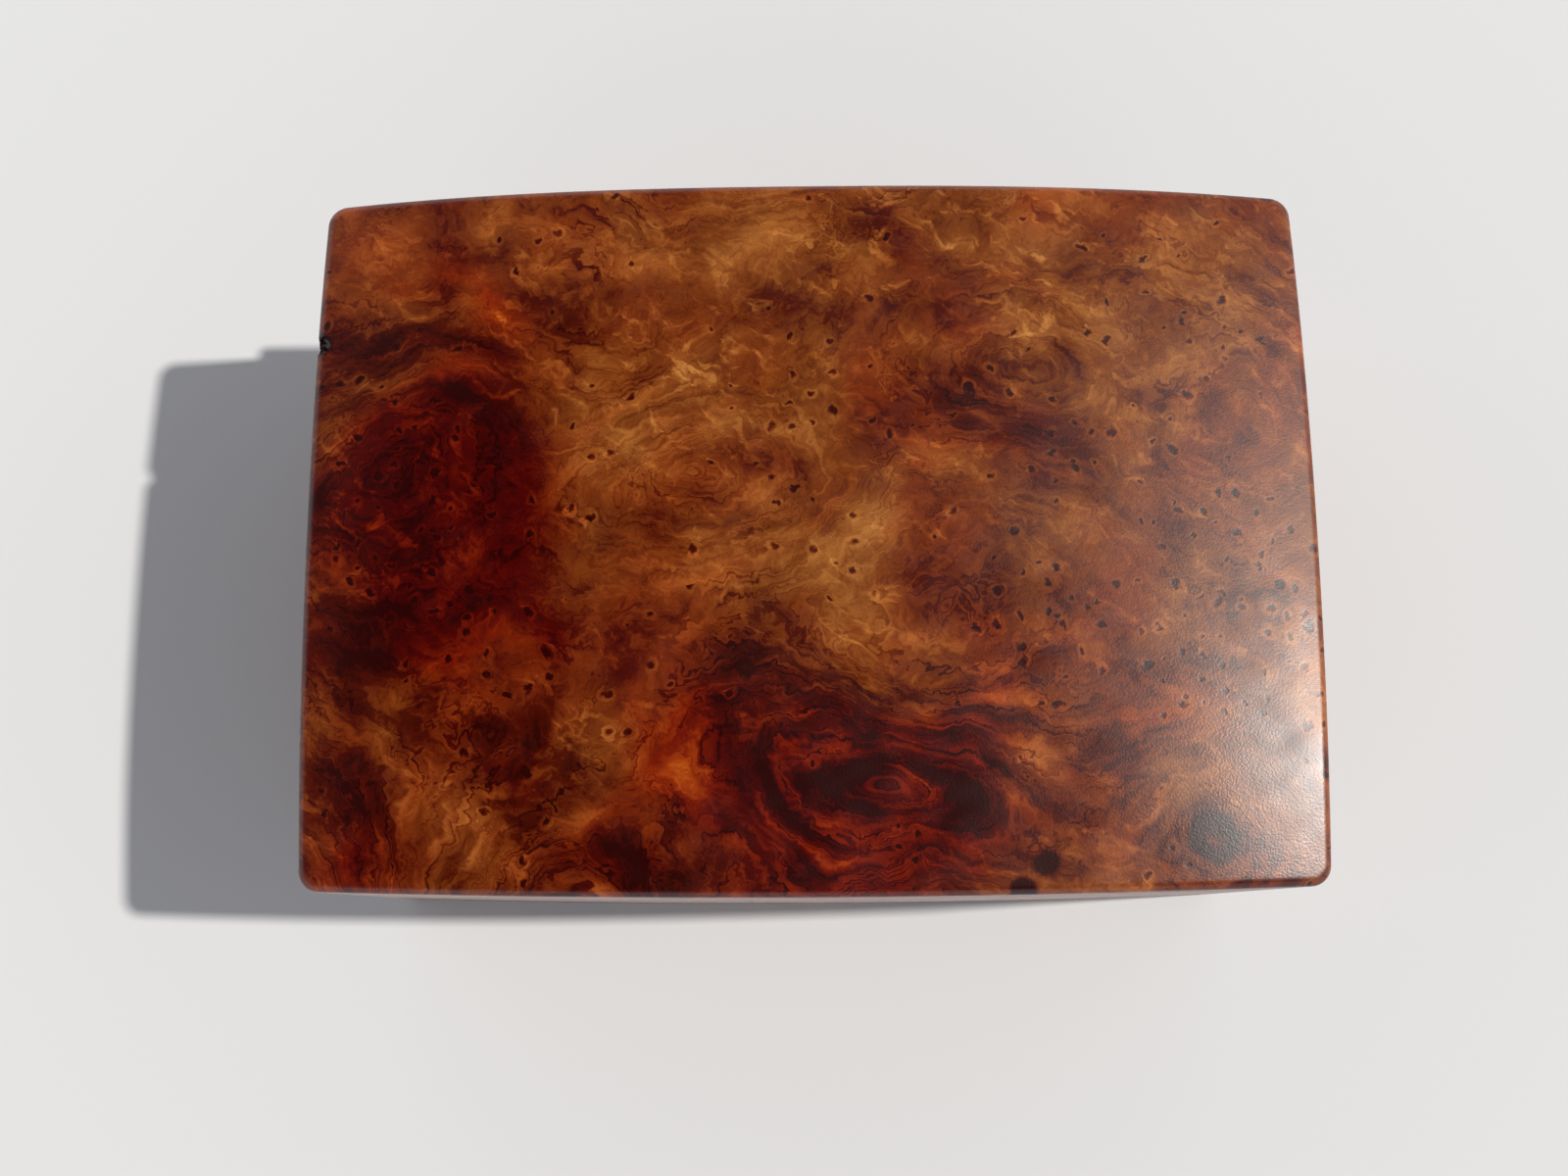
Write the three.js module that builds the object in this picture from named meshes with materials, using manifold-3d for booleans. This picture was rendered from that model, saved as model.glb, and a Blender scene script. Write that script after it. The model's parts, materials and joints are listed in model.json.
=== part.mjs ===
// A secret-opening puzzle box of polished thuya burl.
//
// A pale inner carcass stands on a base board. Burl rails run round its foot and rim, and burl panels
// close the sides between them, each held by a tongue behind the rails' lips. Two of the panels slide:
// the key panel slides back and carries a key in a hidden tray, and the keyhole panel slides to the
// right and bares the keyhole. Two shuttles under the base lock those panels, and a small box lock
// holds the domed lid down by a staple.
//
// Millimetres. +X runs along the box to the right, -Y is the front, +Z is up. Everything is drawn round
// the middle of the wooden body, and the last group shifts it so that the origin is the middle of the
// whole box with its hinge barrels. The box stands closed, with the shuttles and the bolt drawn back.

import * as THREE from "three";
import { mergeVertices } from "three/addons/utils/BufferGeometryUtils.js";
import Module from "manifold-3d";

const wasm = await Module();
wasm.setup();

// ---- Driving dimensions ----

const LENGTH = 150; // over the bowed ends
const DEPTH = 107; // over the bowed front and back
const HEIGHT = 73; // to the top of the dome
const RIM = 60; // top of the body
const END_BOW = 0.8; // how far the middle of an end stands out
const SIDE_BOW = 1.2; // the same for the front and back
const CORNER_RADIUS = 3.4;

const SEAM = 0.2; // open joint between the rim and the lid
const END_FALL = 4.3; // how far the lid's top falls from its middle towards an end
const END_POWER = 3; // a higher power keeps the middle flatter
const SIDE_FALL = 1.6; // the same towards the front and back
const SIDE_POWER = 2.5;
const LID_ROUND = 1.2; // rounded upper edge of the lid

const LIP = 2.2; // outline to the inner face of a rail's lip
const PLAY = 0.1; // running clearance of a panel's tongue
const SKIN = 4.4; // outline to the outer face of the carcass
const CARCASS = 6.2; // thickness of a carcass wall
const FOOT_TOP = 9; // top of the lower rails' lips
const RAIL_BOTTOM = 53; // bottom of the upper rails' lips
const GROOVE = 2.5; // depth of the grooves behind the lips
const GLUE = 0.05; // glue line between fixed pieces

const BOARD_TOP = 6.5; // top of the base board
const FLOOR_BOTTOM = 9.6; // underside of the false floor
const FLOOR_THICKNESS = 1.6;
const FLOOR_HOUSING = 1.6; // how far the false floor runs into the carcass

const KEY_TRAVEL = 34; // of the key panel
const KEYHOLE_TRAVEL = 24; // of the keyhole panel
const SHUTTLE_TRAVEL = 2.2;

const CURVE_STEPS = 6; // straight steps in each bowed side, and half of those in a corner
const ROUND_SIDES = 24; // flats round a rod, a screw or a hinge knuckle

// ---- Places worked out from them ----

const HALF_X = LENGTH / 2;
const HALF_Y = DEPTH / 2;
const CORE_X = HALF_X - SKIN; // outer faces of the carcass
const CORE_Y = HALF_Y - SKIN;
const ROOM_X = CORE_X - CARCASS; // inner faces of the carcass
const ROOM_Y = CORE_Y - CARCASS;
const LID_BOTTOM = RIM + SEAM;
const LID_CORNER = HEIGHT - END_FALL - SIDE_FALL; // the lowest the lid's top comes
const PANEL_BOTTOM = FOOT_TOP + 1.5 * PLAY;
const PANEL_TOP = RAIL_BOTTOM - 1.5 * PLAY;
const TONGUE_BOTTOM = FOOT_TOP - GROOVE + 3 * PLAY;
const TONGUE_TOP = RAIL_BOTTOM + GROOVE - 3 * PLAY;
const FAR = 90; // further out than any piece

// ---- Solids ----

// A closed geometry as a solid that can be cut and joined.
function solidOf(geometry) {
  const bare = geometry.index ? geometry.toNonIndexed() : geometry.clone();
  bare.deleteAttribute("normal");
  bare.deleteAttribute("uv");
  const merged = mergeVertices(bare, 1e-4);
  return new wasm.Manifold(
    new wasm.Mesh({
      numProp: 3,
      vertProperties: merged.attributes.position.array,
      triVerts: new Uint32Array(merged.index.array),
    }),
  );
}

function geometryOf(solid) {
  const { vertProperties, triVerts } = solid.getMesh();
  const geometry = new THREE.BufferGeometry()
    .setAttribute("position", new THREE.BufferAttribute(vertProperties, 3))
    .setIndex(new THREE.BufferAttribute(triVerts, 1))
    .toNonIndexed();
  geometry.computeVertexNormals();
  return geometry;
}

const cut = (solid, ...tools) => tools.reduce((rest, tool) => rest.subtract(tool), solid);
const join = (solid, ...more) => more.reduce((whole, piece) => whole.add(piece), solid);

// A block given by its lowest and highest value along each axis.
function block([x0, x1], [y0, y1], [z0, z1]) {
  const geometry = new THREE.BoxGeometry(x1 - x0, y1 - y0, z1 - z0);
  return solidOf(geometry.translate((x0 + x1) / 2, (y0 + y1) / 2, (z0 + z1) / 2));
}

// A round rod between two points.
function rod(from, to, radius) {
  const [a, b] = [new THREE.Vector3(...from), new THREE.Vector3(...to)];
  const along = b.clone().sub(a);
  const turn = new THREE.Quaternion().setFromUnitVectors(
    new THREE.Vector3(0, 1, 0),
    along.clone().normalize(),
  );
  const geometry = new THREE.CylinderGeometry(radius, radius, along.length(), ROUND_SIDES);
  geometry.applyQuaternion(turn).translate(...a.add(b).multiplyScalar(0.5).toArray());
  return solidOf(geometry);
}

// An outline in the XZ plane, carried along Y from y0 to y1.
function profileAlongY(points, [y0, y1]) {
  const shape = new THREE.Shape(points.map(([x, z]) => new THREE.Vector2(x, z)));
  const geometry = new THREE.ExtrudeGeometry(shape, { depth: y1 - y0, bevelEnabled: false });
  return solidOf(geometry.rotateX(Math.PI / 2).translate(0, y1, 0));
}

// The plan of the box: four bowed sides joined by round corners.
function outline() {
  const [a, b, r] = [HALF_X - END_BOW, HALF_Y - SIDE_BOW, CORNER_RADIUS];
  const [cx, cy] = [a - r, b - r];
  const quarter = Math.PI / 2;
  return new THREE.Shape()
    .moveTo(-cx, -b)
    .quadraticCurveTo(0, -b - 2 * SIDE_BOW, cx, -b)
    .absarc(cx, -cy, r, -quarter, 0)
    .quadraticCurveTo(a + 2 * END_BOW, 0, a, cy)
    .absarc(cx, cy, r, 0, quarter)
    .quadraticCurveTo(0, b + 2 * SIDE_BOW, -cx, b)
    .absarc(-cx, cy, r, quarter, 2 * quarter)
    .quadraticCurveTo(-a - 2 * END_BOW, 0, -a, -cy)
    .absarc(-cx, -cy, r, 2 * quarter, 3 * quarter);
}

// The whole plan between two heights. Every outer piece is a part of one of these.
function layer([z0, z1]) {
  const settings = { depth: z1 - z0, bevelEnabled: false, curveSegments: CURVE_STEPS };
  return solidOf(new THREE.ExtrudeGeometry(outline(), settings).translate(0, 0, z0));
}

// A mesh with its own material.
function mesh(name, shape, material, position = [0, 0, 0], rotation = [0, 0, 0]) {
  const geometry = shape.isBufferGeometry ? shape : geometryOf(shape);
  const made = new THREE.Mesh(geometry, material());
  made.name = name;
  made.position.set(...position);
  made.rotation.set(...rotation);
  return made;
}

function group(position, ...members) {
  const made = new THREE.Group();
  made.position.set(...position);
  return members.length ? made.add(...members) : made;
}

// ---- Materials ----

const finish = (color, roughness, metalness = 0) => () =>
  new THREE.MeshStandardMaterial({ color, roughness, metalness });
const BURL = finish("#7c4526", 0.32);
const LEMONWOOD = finish("#c69a5c", 0.55);
const BASE_WOOD = finish("#9a6a3c", 0.6);
const BRASS = finish("#b08d4a", 0.35, 1);
const STEEL = finish("#8c8c88", 0.35, 1);

// ---- Slotted countersunk screws ----

const SCREW = { head: 1.5, shank: 0.7, length: 5, sink: 0.8, slot: 0.5 };

// Head up at the origin, point down.
function screw() {
  const { head, shank, length, sink, slot } = SCREW;
  const profile = [
    [0, -length],
    [shank, 1.2 - length],
    [shank, -sink],
    [head, -0.1],
    [head, 0],
    [0, 0],
  ].map(([x, y]) => new THREE.Vector2(x, y));
  const turned = new THREE.LatheGeometry(profile, ROUND_SIDES).rotateX(Math.PI / 2);
  const slotCut = block([-FAR, FAR], [-slot / 2, slot / 2], [-0.4, 1]);
  return geometryOf(cut(solidOf(turned), slotCut));
}

// The hole that a screw needs in wood and plate, its mouth at a point and its length along -axis.
function screwHole(mouth, axis) {
  const { head, shank, length, sink } = SCREW;
  const room = 0.15;
  const profile = [
    [0, -length - room],
    [shank + room, -length - room],
    [shank + room, -sink - room],
    [head + room, -0.1 - room],
    [head + room, room],
    [0, room],
  ].map(([x, y]) => new THREE.Vector2(x, y));
  const turn = new THREE.Quaternion().setFromUnitVectors(
    new THREE.Vector3(0, 1, 0),
    new THREE.Vector3(...axis),
  );
  const geometry = new THREE.LatheGeometry(profile, ROUND_SIDES).applyQuaternion(turn);
  return solidOf(geometry.translate(...mouth));
}

// ---- Butt hinges ----

const HINGE = {
  x: 47, // of each hinge's middle, left and right
  y: HALF_Y + 0.1,
  z: RIM + SEAM / 2,
  length: 24,
  width: 8.5, // from the axis to a leaf's edge
  leaf: 0.9,
  barrel: 1.5,
  bore: 0.7,
  pin: 0.65,
  knuckles: 5,
  gap: 0.15,
  screwX: 7.5, // either side of the middle
  screwY: 5.2, // in front of the axis
};
const HINGE_SIDES = [
  ["left", -HINGE.x],
  ["right", HINGE.x],
];

// One leaf with its knuckles, round an axis along X at the origin. The body's leaf lies under the
// axis and has the first knuckle; the lid's lies over it and has the second.
function hingeLeaf(isLid) {
  const { length, width, leaf, barrel, bore, knuckles, gap, screwX, screwY } = HINGE;
  const near = SEAM / 2;
  const side = isLid ? [near, near + leaf] : [-near - leaf, -near];
  const step = length / knuckles;
  let made = block([-length / 2, length / 2], [-width, 0], side);
  for (let i = 0; i < knuckles; i++) {
    const from = -length / 2 + i * step;
    const span = [from + (i ? gap / 2 : 0), from + step - (i < knuckles - 1 ? gap / 2 : 0)];
    const isOwn = (i % 2 === 1) === isLid;
    made = isOwn
      ? join(made, rod([span[0], 0, 0], [span[1], 0, 0], barrel))
      : cut(made, block([from - gap / 2, from + step + gap / 2], [-barrel - gap, FAR], [-FAR, FAR]));
  }
  made = cut(made, rod([-FAR, 0, 0], [FAR, 0, 0], bore));
  const face = isLid ? near : -near;
  const holes = [-screwX, screwX].map((x) =>
    screwHole([x, -screwY, face], [0, 0, isLid ? -1 : 1]),
  );
  return cut(made, ...holes);
}

// What a hinge takes out of the wood of the body (isLid false) or of the lid (isLid true).
function hingeMortises(isLid) {
  const { y, z, length, width, leaf, barrel, screwX, screwY } = HINGE;
  const room = 0.1;
  const face = isLid ? LID_BOTTOM : RIM;
  const depth = leaf + GLUE;
  return HINGE_SIDES.flatMap(([, x]) => [
    block(
      [x - length / 2 - room, x + length / 2 + room],
      [y - width - room, y + 5],
      isLid ? [face - 1, face + depth] : [face - depth, face + 1],
    ),
    rod(
      [x - length / 2 - 2 * room, y, z],
      [x + length / 2 + 2 * room, y, z],
      barrel + 2 * room,
    ),
    ...[-screwX, screwX].map((dx) =>
      screwHole([x + dx, y - screwY, face], [0, 0, isLid ? -1 : 1]),
    ),
  ]);
}

// ---- Box lock ----

const LOCK = {
  plate: 1, // thickness of the back plate, the selvedge and the staple's plate
  halfWidth: 14,
  bottom: 40,
  selvedgeFront: -HALF_Y + 5.3,
  caseHalfWidth: 10.5,
  caseBottom: 43,
  caseDepth: 4,
  caseWall: 0.5,
  key: [3, 48], // x and z of the keyhole
  keyPost: 0.8,
  staple: -6, // x of its middle
  stapleThickness: 1.6,
  stapleDrop: 7,
  boltZ: [54.4, 57],
  boltTravel: 4,
  screwX: 12.2,
  screwZ: 45,
};
const PLATE_FRONT = -ROOM_Y - LOCK.plate; // the back plate's face towards the case
const CASE_FRONT = PLATE_FRONT - LOCK.caseDepth;
const BOLT_Y = [PLATE_FRONT - 2.2, PLATE_FRONT - 1];
const LOCK_SCREWS = [-LOCK.screwX, LOCK.screwX].flatMap((x) => [
  { at: [x, -ROOM_Y - 3, RIM], axis: [0, 0, 1], rotation: [0, 0, 0] },
  { at: [x, -ROOM_Y, LOCK.screwZ], axis: [0, 1, 0], rotation: [-Math.PI / 2, 0, 0] },
]);

// A keyhole: a round hole and a slot below it, cut through from y0 to y1.
function keyhole([y0, y1], radius, slot, drop) {
  const [x, z] = LOCK.key;
  return join(
    rod([x, y0, z], [x, y1, z], radius),
    block([x - slot / 2, x + slot / 2], [y0, y1], [z - drop, z]),
  );
}

function lockPlate() {
  const { plate, halfWidth, bottom, selvedgeFront, staple, stapleThickness } = LOCK;
  const back = block([-halfWidth, halfWidth], [PLATE_FRONT, -ROOM_Y], [bottom, RIM]);
  const selvedge = block([-halfWidth, halfWidth], [selvedgeFront, -ROOM_Y], [RIM - plate, RIM]);
  const half = stapleThickness / 2 + 0.4;
  const slot = block(
    [staple - half, staple + half],
    [CASE_FRONT + LOCK.caseWall, PLATE_FRONT],
    [RIM - 2 * plate, RIM + 1],
  );
  const holes = LOCK_SCREWS.map(({ at, axis }) => screwHole(at, axis));
  return cut(join(back, selvedge), slot, ...holes);
}

function lockCase() {
  const { caseHalfWidth: w, caseBottom, caseWall: t, plate } = LOCK;
  const top = RIM - plate - GLUE;
  const outer = block([-w, w], [CASE_FRONT, PLATE_FRONT - GLUE], [caseBottom, top]);
  const inner = block(
    [t - w, w - t],
    [CASE_FRONT + t, PLATE_FRONT + 1],
    [caseBottom + t, top + 1],
  );
  return cut(outer, inner, keyhole([CASE_FRONT - 1, CASE_FRONT + 1], 1.8, 1.8, 4.5));
}

// The bolt, drawn back: its head stops short of the staple, and its leg has the notch that the
// key's bit turns in.
function lockBolt() {
  const [z0, z1] = LOCK.boltZ;
  const head = LOCK.staple + LOCK.stapleThickness / 2 + 1.6;
  const bar = block([head, 8.6], BOLT_Y, [z0, z1]);
  const middle = LOCK.key[0] + LOCK.boltTravel / 2;
  const leg = block([middle - 3, middle + 3], BOLT_Y, [z0 - 3.4, z0]);
  const notch = block([middle - 1.3, middle + 1.3], [-FAR, FAR], [0, z0 - 0.8]);
  return cut(join(bar, leg), notch);
}

// A bent brass strip that bears on the bolt and keeps it where the key leaves it.
function lockSpring() {
  const top = RIM - LOCK.plate - 0.3;
  const low = LOCK.boltZ[1] + 0.25;
  const strip = 0.35;
  const line = [
    [-2.6, low + 0.5],
    [-1, low],
    [1, low + 0.4],
    [7, top - strip],
    [9.6, top - strip],
  ];
  const back = line.map(([x, z]) => [x, z + strip]).reverse();
  return profileAlongY([...line, ...back], [BOLT_Y[0] + 0.1, BOLT_Y[1] - 0.1]);
}

// The plate under the lid, with the eye that the bolt enters.
function staplePlate() {
  const { plate, selvedgeFront, staple, stapleThickness, stapleDrop, boltZ } = LOCK;
  const z = [LID_BOTTOM, LID_BOTTOM + plate];
  const flat = block([staple - 8, staple + 8], [selvedgeFront, -ROOM_Y], z);
  const half = stapleThickness / 2;
  const eyeY = [BOLT_Y[0] - 0.7, BOLT_Y[1] + 0.7];
  const tab = block([staple - half, staple + half], eyeY, [LID_BOTTOM - stapleDrop, z[0]]);
  const eye = block([-FAR, FAR], [BOLT_Y[0] - 0.15, BOLT_Y[1] + 0.15], [boltZ[0] - 0.3, boltZ[1] + 0.3]);
  const holes = STAPLE_SCREWS.map((at) => screwHole(at, [0, 0, -1]));
  return cut(join(flat, tab), eye, ...holes);
}
const STAPLE_SCREWS = [-6, 6].map((x) => [LOCK.staple + x, -ROOM_Y - 2.65, LID_BOTTOM]);

// ---- Sliding panels ----

const KEYHOLE_PANEL_START = -10; // its left edge
const RETURN = 8.6; // how far the key panel wraps round the back corner
const STOP = {
  radius: 1,
  reach: 1.3, // past the carcass
  room: 0.15,
  keyholeAt: [50, 31], // x and z
  keyAt: [-10, 46], // y and z
};
const TRAY = { y: [16.5, CORE_Y - 0.2], z: [24, 40], depth: 4, floor: 0.7, wall: 1.5, room: 0.25 };
const TRAY_X = [-CORE_X - GLUE, -CORE_X - GLUE + TRAY.depth];

// A panel between the rails: its outer part, and the tongue above and below it.
function panel(body, tongue) {
  return join(
    layer([PANEL_BOTTOM, PANEL_TOP]).intersect(body),
    layer([TONGUE_BOTTOM, TONGUE_TOP]).intersect(tongue),
  );
}

const ALL_Z = [-FAR, FAR];
const TONGUE_Y = [CORE_Y + PLAY, HALF_Y - LIP - PLAY]; // the back's; the front's is its mirror
const TONGUE_X = [CORE_X + PLAY, HALF_X - LIP - PLAY];
const mirrored = ([low, high]) => [-high, -low];
const outwards = (from) => [from, FAR];

function frontPanel(x) {
  return panel(
    block(x, mirrored(outwards(TONGUE_Y[0])), ALL_Z),
    block(x, mirrored(TONGUE_Y), ALL_Z),
  );
}

// The arms of the shuttles, and the pockets they enter in the tongues of the two sliding panels.
const ARM = { width: 8, z: [BOARD_TOP + 0.4, FOOT_TOP], room: 0.2 };
const SHUTTLES = { keyY: -22, keyholeX: 24 };
const armSpan = (middle) => [
  middle - ARM.width / 2 - ARM.room,
  middle + ARM.width / 2 + ARM.room,
];
const ARM_ROOM_Z = [TONGUE_BOTTOM - 1, PANEL_BOTTOM + 0.1];

function keyholePanel() {
  const [x, z] = STOP.keyholeAt;
  const half = STOP.radius + STOP.room;
  const face = -CORE_Y - PLAY;
  const slot = block(
    [x - KEYHOLE_TRAVEL - half, x + half],
    [face - STOP.reach - 0.1, face + 1],
    [z - half, z + half],
  );
  const pocket = block(armSpan(SHUTTLES.keyholeX), [-HALF_Y + LIP, 0], ARM_ROOM_Z);
  return cut(frontPanel([KEYHOLE_PANEL_START, FAR]), slot, pocket);
}

// The key panel covers the left end and wraps round the back corner.
function keyPanel() {
  const front = -CORE_Y + PLAY;
  const end = block(mirrored(outwards(TONGUE_X[0])), [front, FAR], ALL_Z);
  const corner = block([-FAR, -HALF_X + RETURN], outwards(TONGUE_Y[0]), ALL_Z);
  const tongue = block(mirrored(TONGUE_X), [front, FAR], ALL_Z);
  const [y, z] = STOP.keyAt;
  const half = STOP.radius + STOP.room;
  const face = -CORE_X - PLAY;
  const slot = block(
    [face - STOP.reach - 0.1, face + 1],
    [y - KEY_TRAVEL - half, y + half],
    [z - half, z + half],
  );
  const pocket = block([-HALF_X + LIP, 0], armSpan(SHUTTLES.keyY), ARM_ROOM_Z);
  return cut(panel(join(end, corner), tongue), slot, pocket);
}

// The block behind the key panel, with a pocket that opens inwards.
function keyTray() {
  const { y, z, floor, wall } = TRAY;
  const tray = block(TRAY_X, y, z);
  const pocket = block(
    [TRAY_X[0] + floor, 0],
    [y[0] + wall, y[1] - wall],
    [z[0] + wall, z[1] - wall],
  );
  return cut(tray, pocket);
}

// ---- The key: a pipe key along Y, its bow at the back ----

const KEY = { length: 28, stem: 1.4, bore: 0.95, bow: 5, ring: 1.1, bit: 4.2 };

function key() {
  const { length, stem, bore, bow, ring, bit } = KEY;
  const tip = -length / 2;
  const bowAt = length / 2 - bow;
  const loop = new THREE.TorusGeometry(bow - ring, ring, 10, 36)
    .rotateY(Math.PI / 2)
    .scale(0.8, 1, 1)
    .translate(0, bowAt, 0);
  const shaft = rod([0, tip, 0], [0, bowAt - bow + ring, 0], stem);
  const collar = rod([0, bowAt - bow - 0.6, 0], [0, bowAt - bow + 0.4, 0], stem + 0.15);
  const blade = block([-0.65, 0.65], [tip + 0.6, tip + 3], [-bit, -stem / 2]);
  const ward = block([-FAR, FAR], [tip + 1.6, tip + 2.1], [-FAR, -bit + 1.2]);
  const pipe = rod([0, tip - 1, 0], [0, tip + 7, 0], bore);
  return cut(join(shaft, collar, solidOf(loop), blade), ward, pipe);
}

// ---- Shuttles: a block with a grooved foot for the finger, and an arm that locks a panel ----

const SHUTTLE = { block: 8, reach: 20, foot: 0.3, groove: 0.6 };

// At the origin of its arm's tip, with the arm pointing along -X.
function shuttle() {
  const { block: size, reach, foot, groove } = SHUTTLE;
  const across = [-ARM.width / 2, ARM.width / 2];
  const post = block([reach - size, reach], across, [foot, ARM.z[1]]);
  const arm = block([0, reach], across, ARM.z);
  const grooves = [-2, 0, 2].map((dx) =>
    profileAlongY(
      [
        [reach - size / 2 + dx - groove, foot - 0.1],
        [reach - size / 2 + dx + groove, foot - 0.1],
        [reach - size / 2 + dx, foot + groove],
      ],
      [-FAR, FAR],
    ),
  );
  return cut(join(post, arm), ...grooves);
}
const SHUTTLE_BACK = 0.15; // the arm's tip, behind the carcass's face
const KEY_SHUTTLE_AT = [-CORE_X + SHUTTLE_BACK, SHUTTLES.keyY, 0];
const KEYHOLE_SHUTTLE_AT = [SHUTTLES.keyholeX, -CORE_Y + SHUTTLE_BACK, 0];

// The slot in the base board that a shuttle's post runs in.
function shuttleSlot(isKey) {
  const { block: size, reach } = SHUTTLE;
  const start = (isKey ? -CORE_X : -CORE_Y) + SHUTTLE_BACK + reach - size;
  const along = [start - SHUTTLE_TRAVEL - ARM.room, start + size + ARM.room];
  const across = armSpan(isKey ? SHUTTLES.keyY : SHUTTLES.keyholeX);
  return isKey ? block(along, across, ALL_Z) : block(across, along, ALL_Z);
}

// ---- Carcass, rails and fixed panels ----

// The false floor's housing, and the channel for each shuttle's arm, cut from every carcass wall.
function carcassCuts() {
  const z = [FLOOR_BOTTOM - GLUE, FLOOR_BOTTOM + FLOOR_THICKNESS + GLUE];
  const floor = block(
    [-ROOM_X - FLOOR_HOUSING - GLUE, ROOM_X + FLOOR_HOUSING + GLUE],
    [-ROOM_Y - FLOOR_HOUSING - GLUE, ROOM_Y + FLOOR_HOUSING + GLUE],
    z,
  );
  const armZ = [0, FOOT_TOP + 0.3];
  return [
    floor,
    block([-FAR, -ROOM_X + 1], armSpan(SHUTTLES.keyY), armZ),
    block(armSpan(SHUTTLES.keyholeX), [-FAR, -ROOM_Y + 1], armZ),
  ];
}

const CARCASS_Z = [BOARD_TOP + GLUE, RIM];

function carcassLeft() {
  const wall = block([-CORE_X, -ROOM_X], [-CORE_Y, CORE_Y], CARCASS_Z);
  const { y, z, room } = TRAY;
  const channel = block(
    [-FAR, TRAY_X[1] + 0.2],
    [y[0] - room, FAR],
    [z[0] - room, z[1] + room],
  );
  const [pinY, pinZ] = STOP.keyAt;
  const pinHole = rod([-FAR, pinY, pinZ], [0, pinY, pinZ], STOP.radius + GLUE);
  return cut(wall, channel, pinHole, ...carcassCuts());
}

function carcassRight() {
  return cut(block([ROOM_X, CORE_X], [-CORE_Y, CORE_Y], CARCASS_Z), ...carcassCuts());
}

function carcassFront() {
  const wall = block([-ROOM_X + GLUE, ROOM_X - GLUE], [-CORE_Y, -ROOM_Y], CARCASS_Z);
  const { halfWidth, bottom, plate, selvedgeFront, caseHalfWidth, caseBottom } = LOCK;
  const inside = -ROOM_Y + 1;
  const mortises = [
    block([-halfWidth - GLUE, halfWidth + GLUE], [PLATE_FRONT - GLUE, inside], [bottom - GLUE, FAR]),
    block(
      [-halfWidth - GLUE, halfWidth + GLUE],
      [selvedgeFront - GLUE, inside],
      [RIM - plate - GLUE, FAR],
    ),
    block(
      [-caseHalfWidth - GLUE, caseHalfWidth + GLUE],
      [CASE_FRONT - GLUE, inside],
      [caseBottom - GLUE, FAR],
    ),
  ];
  const holes = LOCK_SCREWS.map(({ at, axis }) => screwHole(at, axis));
  const [pinX, pinZ] = STOP.keyholeAt;
  const pinHole = rod([pinX, -FAR, pinZ], [pinX, 0, pinZ], STOP.radius + GLUE);
  const door = keyhole([-FAR, CASE_FRONT], 1.9, 2, 4.6);
  return cut(wall, ...mortises, ...holes, pinHole, door, ...carcassCuts());
}

function carcassBack() {
  const wall = block([-ROOM_X + GLUE, ROOM_X - GLUE], [ROOM_Y, CORE_Y], CARCASS_Z);
  return cut(wall, ...hingeMortises(false), ...carcassCuts());
}

// One rail of the foot or of the rim: full thickness, and a lip that a panel's tongue runs behind.
function rail(isFoot, full, lip) {
  const solidZ = isFoot ? [0, FOOT_TOP - GROOVE] : [RAIL_BOTTOM + GROOVE, RIM];
  const lipZ = isFoot ? [0, FOOT_TOP] : [RAIL_BOTTOM, RIM];
  return join(layer(solidZ).intersect(full), layer(lipZ).intersect(lip));
}

// Where the four rails of a ring lie in plan. The front one runs from end to end, the left one runs
// on to the back, and the others fit between them.
const INNER_X = CORE_X + GLUE;
const INNER_Y = CORE_Y + GLUE;
const RAILS = {
  front: {
    across: [-FAR, FAR],
    place: (across, from) => block(across, mirrored(outwards(from)), ALL_Z),
    faces: [INNER_Y, HALF_Y - LIP],
  },
  left: {
    across: [-CORE_Y, FAR],
    place: (across, from) => block(mirrored(outwards(from)), across, ALL_Z),
    faces: [INNER_X, HALF_X - LIP],
  },
  back: {
    across: [-CORE_X, FAR],
    place: (across, from) => block(across, outwards(from), ALL_Z),
    faces: [INNER_Y, HALF_Y - LIP],
  },
  right: {
    across: [-CORE_Y, CORE_Y],
    place: (across, from) => block(outwards(from), across, ALL_Z),
    faces: [INNER_X, HALF_X - LIP],
  },
};

function railAt(side, isFoot) {
  const { across, place, faces } = RAILS[side];
  const made = rail(isFoot, place(across, faces[0]), place(across, faces[1]));
  return side === "back" && !isFoot ? cut(made, ...hingeMortises(false)) : made;
}

function backPanel() {
  const x = [-HALF_X + RETURN + PLAY, FAR];
  return panel(block(x, outwards(TONGUE_Y[0]), ALL_Z), block(x, TONGUE_Y, ALL_Z));
}

function rightPanel() {
  const y = [-CORE_Y + PLAY, CORE_Y];
  return panel(block(outwards(TONGUE_X[0]), y, ALL_Z), block(TONGUE_X, y, ALL_Z));
}

function baseBoard() {
  const room = CORE_X - GLUE;
  const board = block([-room, room], [-CORE_Y + GLUE, CORE_Y - GLUE], [0, BOARD_TOP]);
  return cut(board, shuttleSlot(true), shuttleSlot(false));
}

function falseFloor() {
  const [x, y] = [ROOM_X + FLOOR_HOUSING, ROOM_Y + FLOOR_HOUSING];
  return block([-x, x], [-y, y], [FLOOR_BOTTOM, FLOOR_BOTTOM + FLOOR_THICKNESS]);
}

// ---- Lid ----

// How far the pillowed top stands above its lowest corner.
function crown(x, y) {
  const towardsEnd = END_FALL * (1 - Math.abs(x / HALF_X) ** END_POWER);
  const towardsSide = SIDE_FALL * (1 - Math.abs(y / HALF_Y) ** SIDE_POWER);
  return towardsEnd + towardsSide;
}

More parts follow.
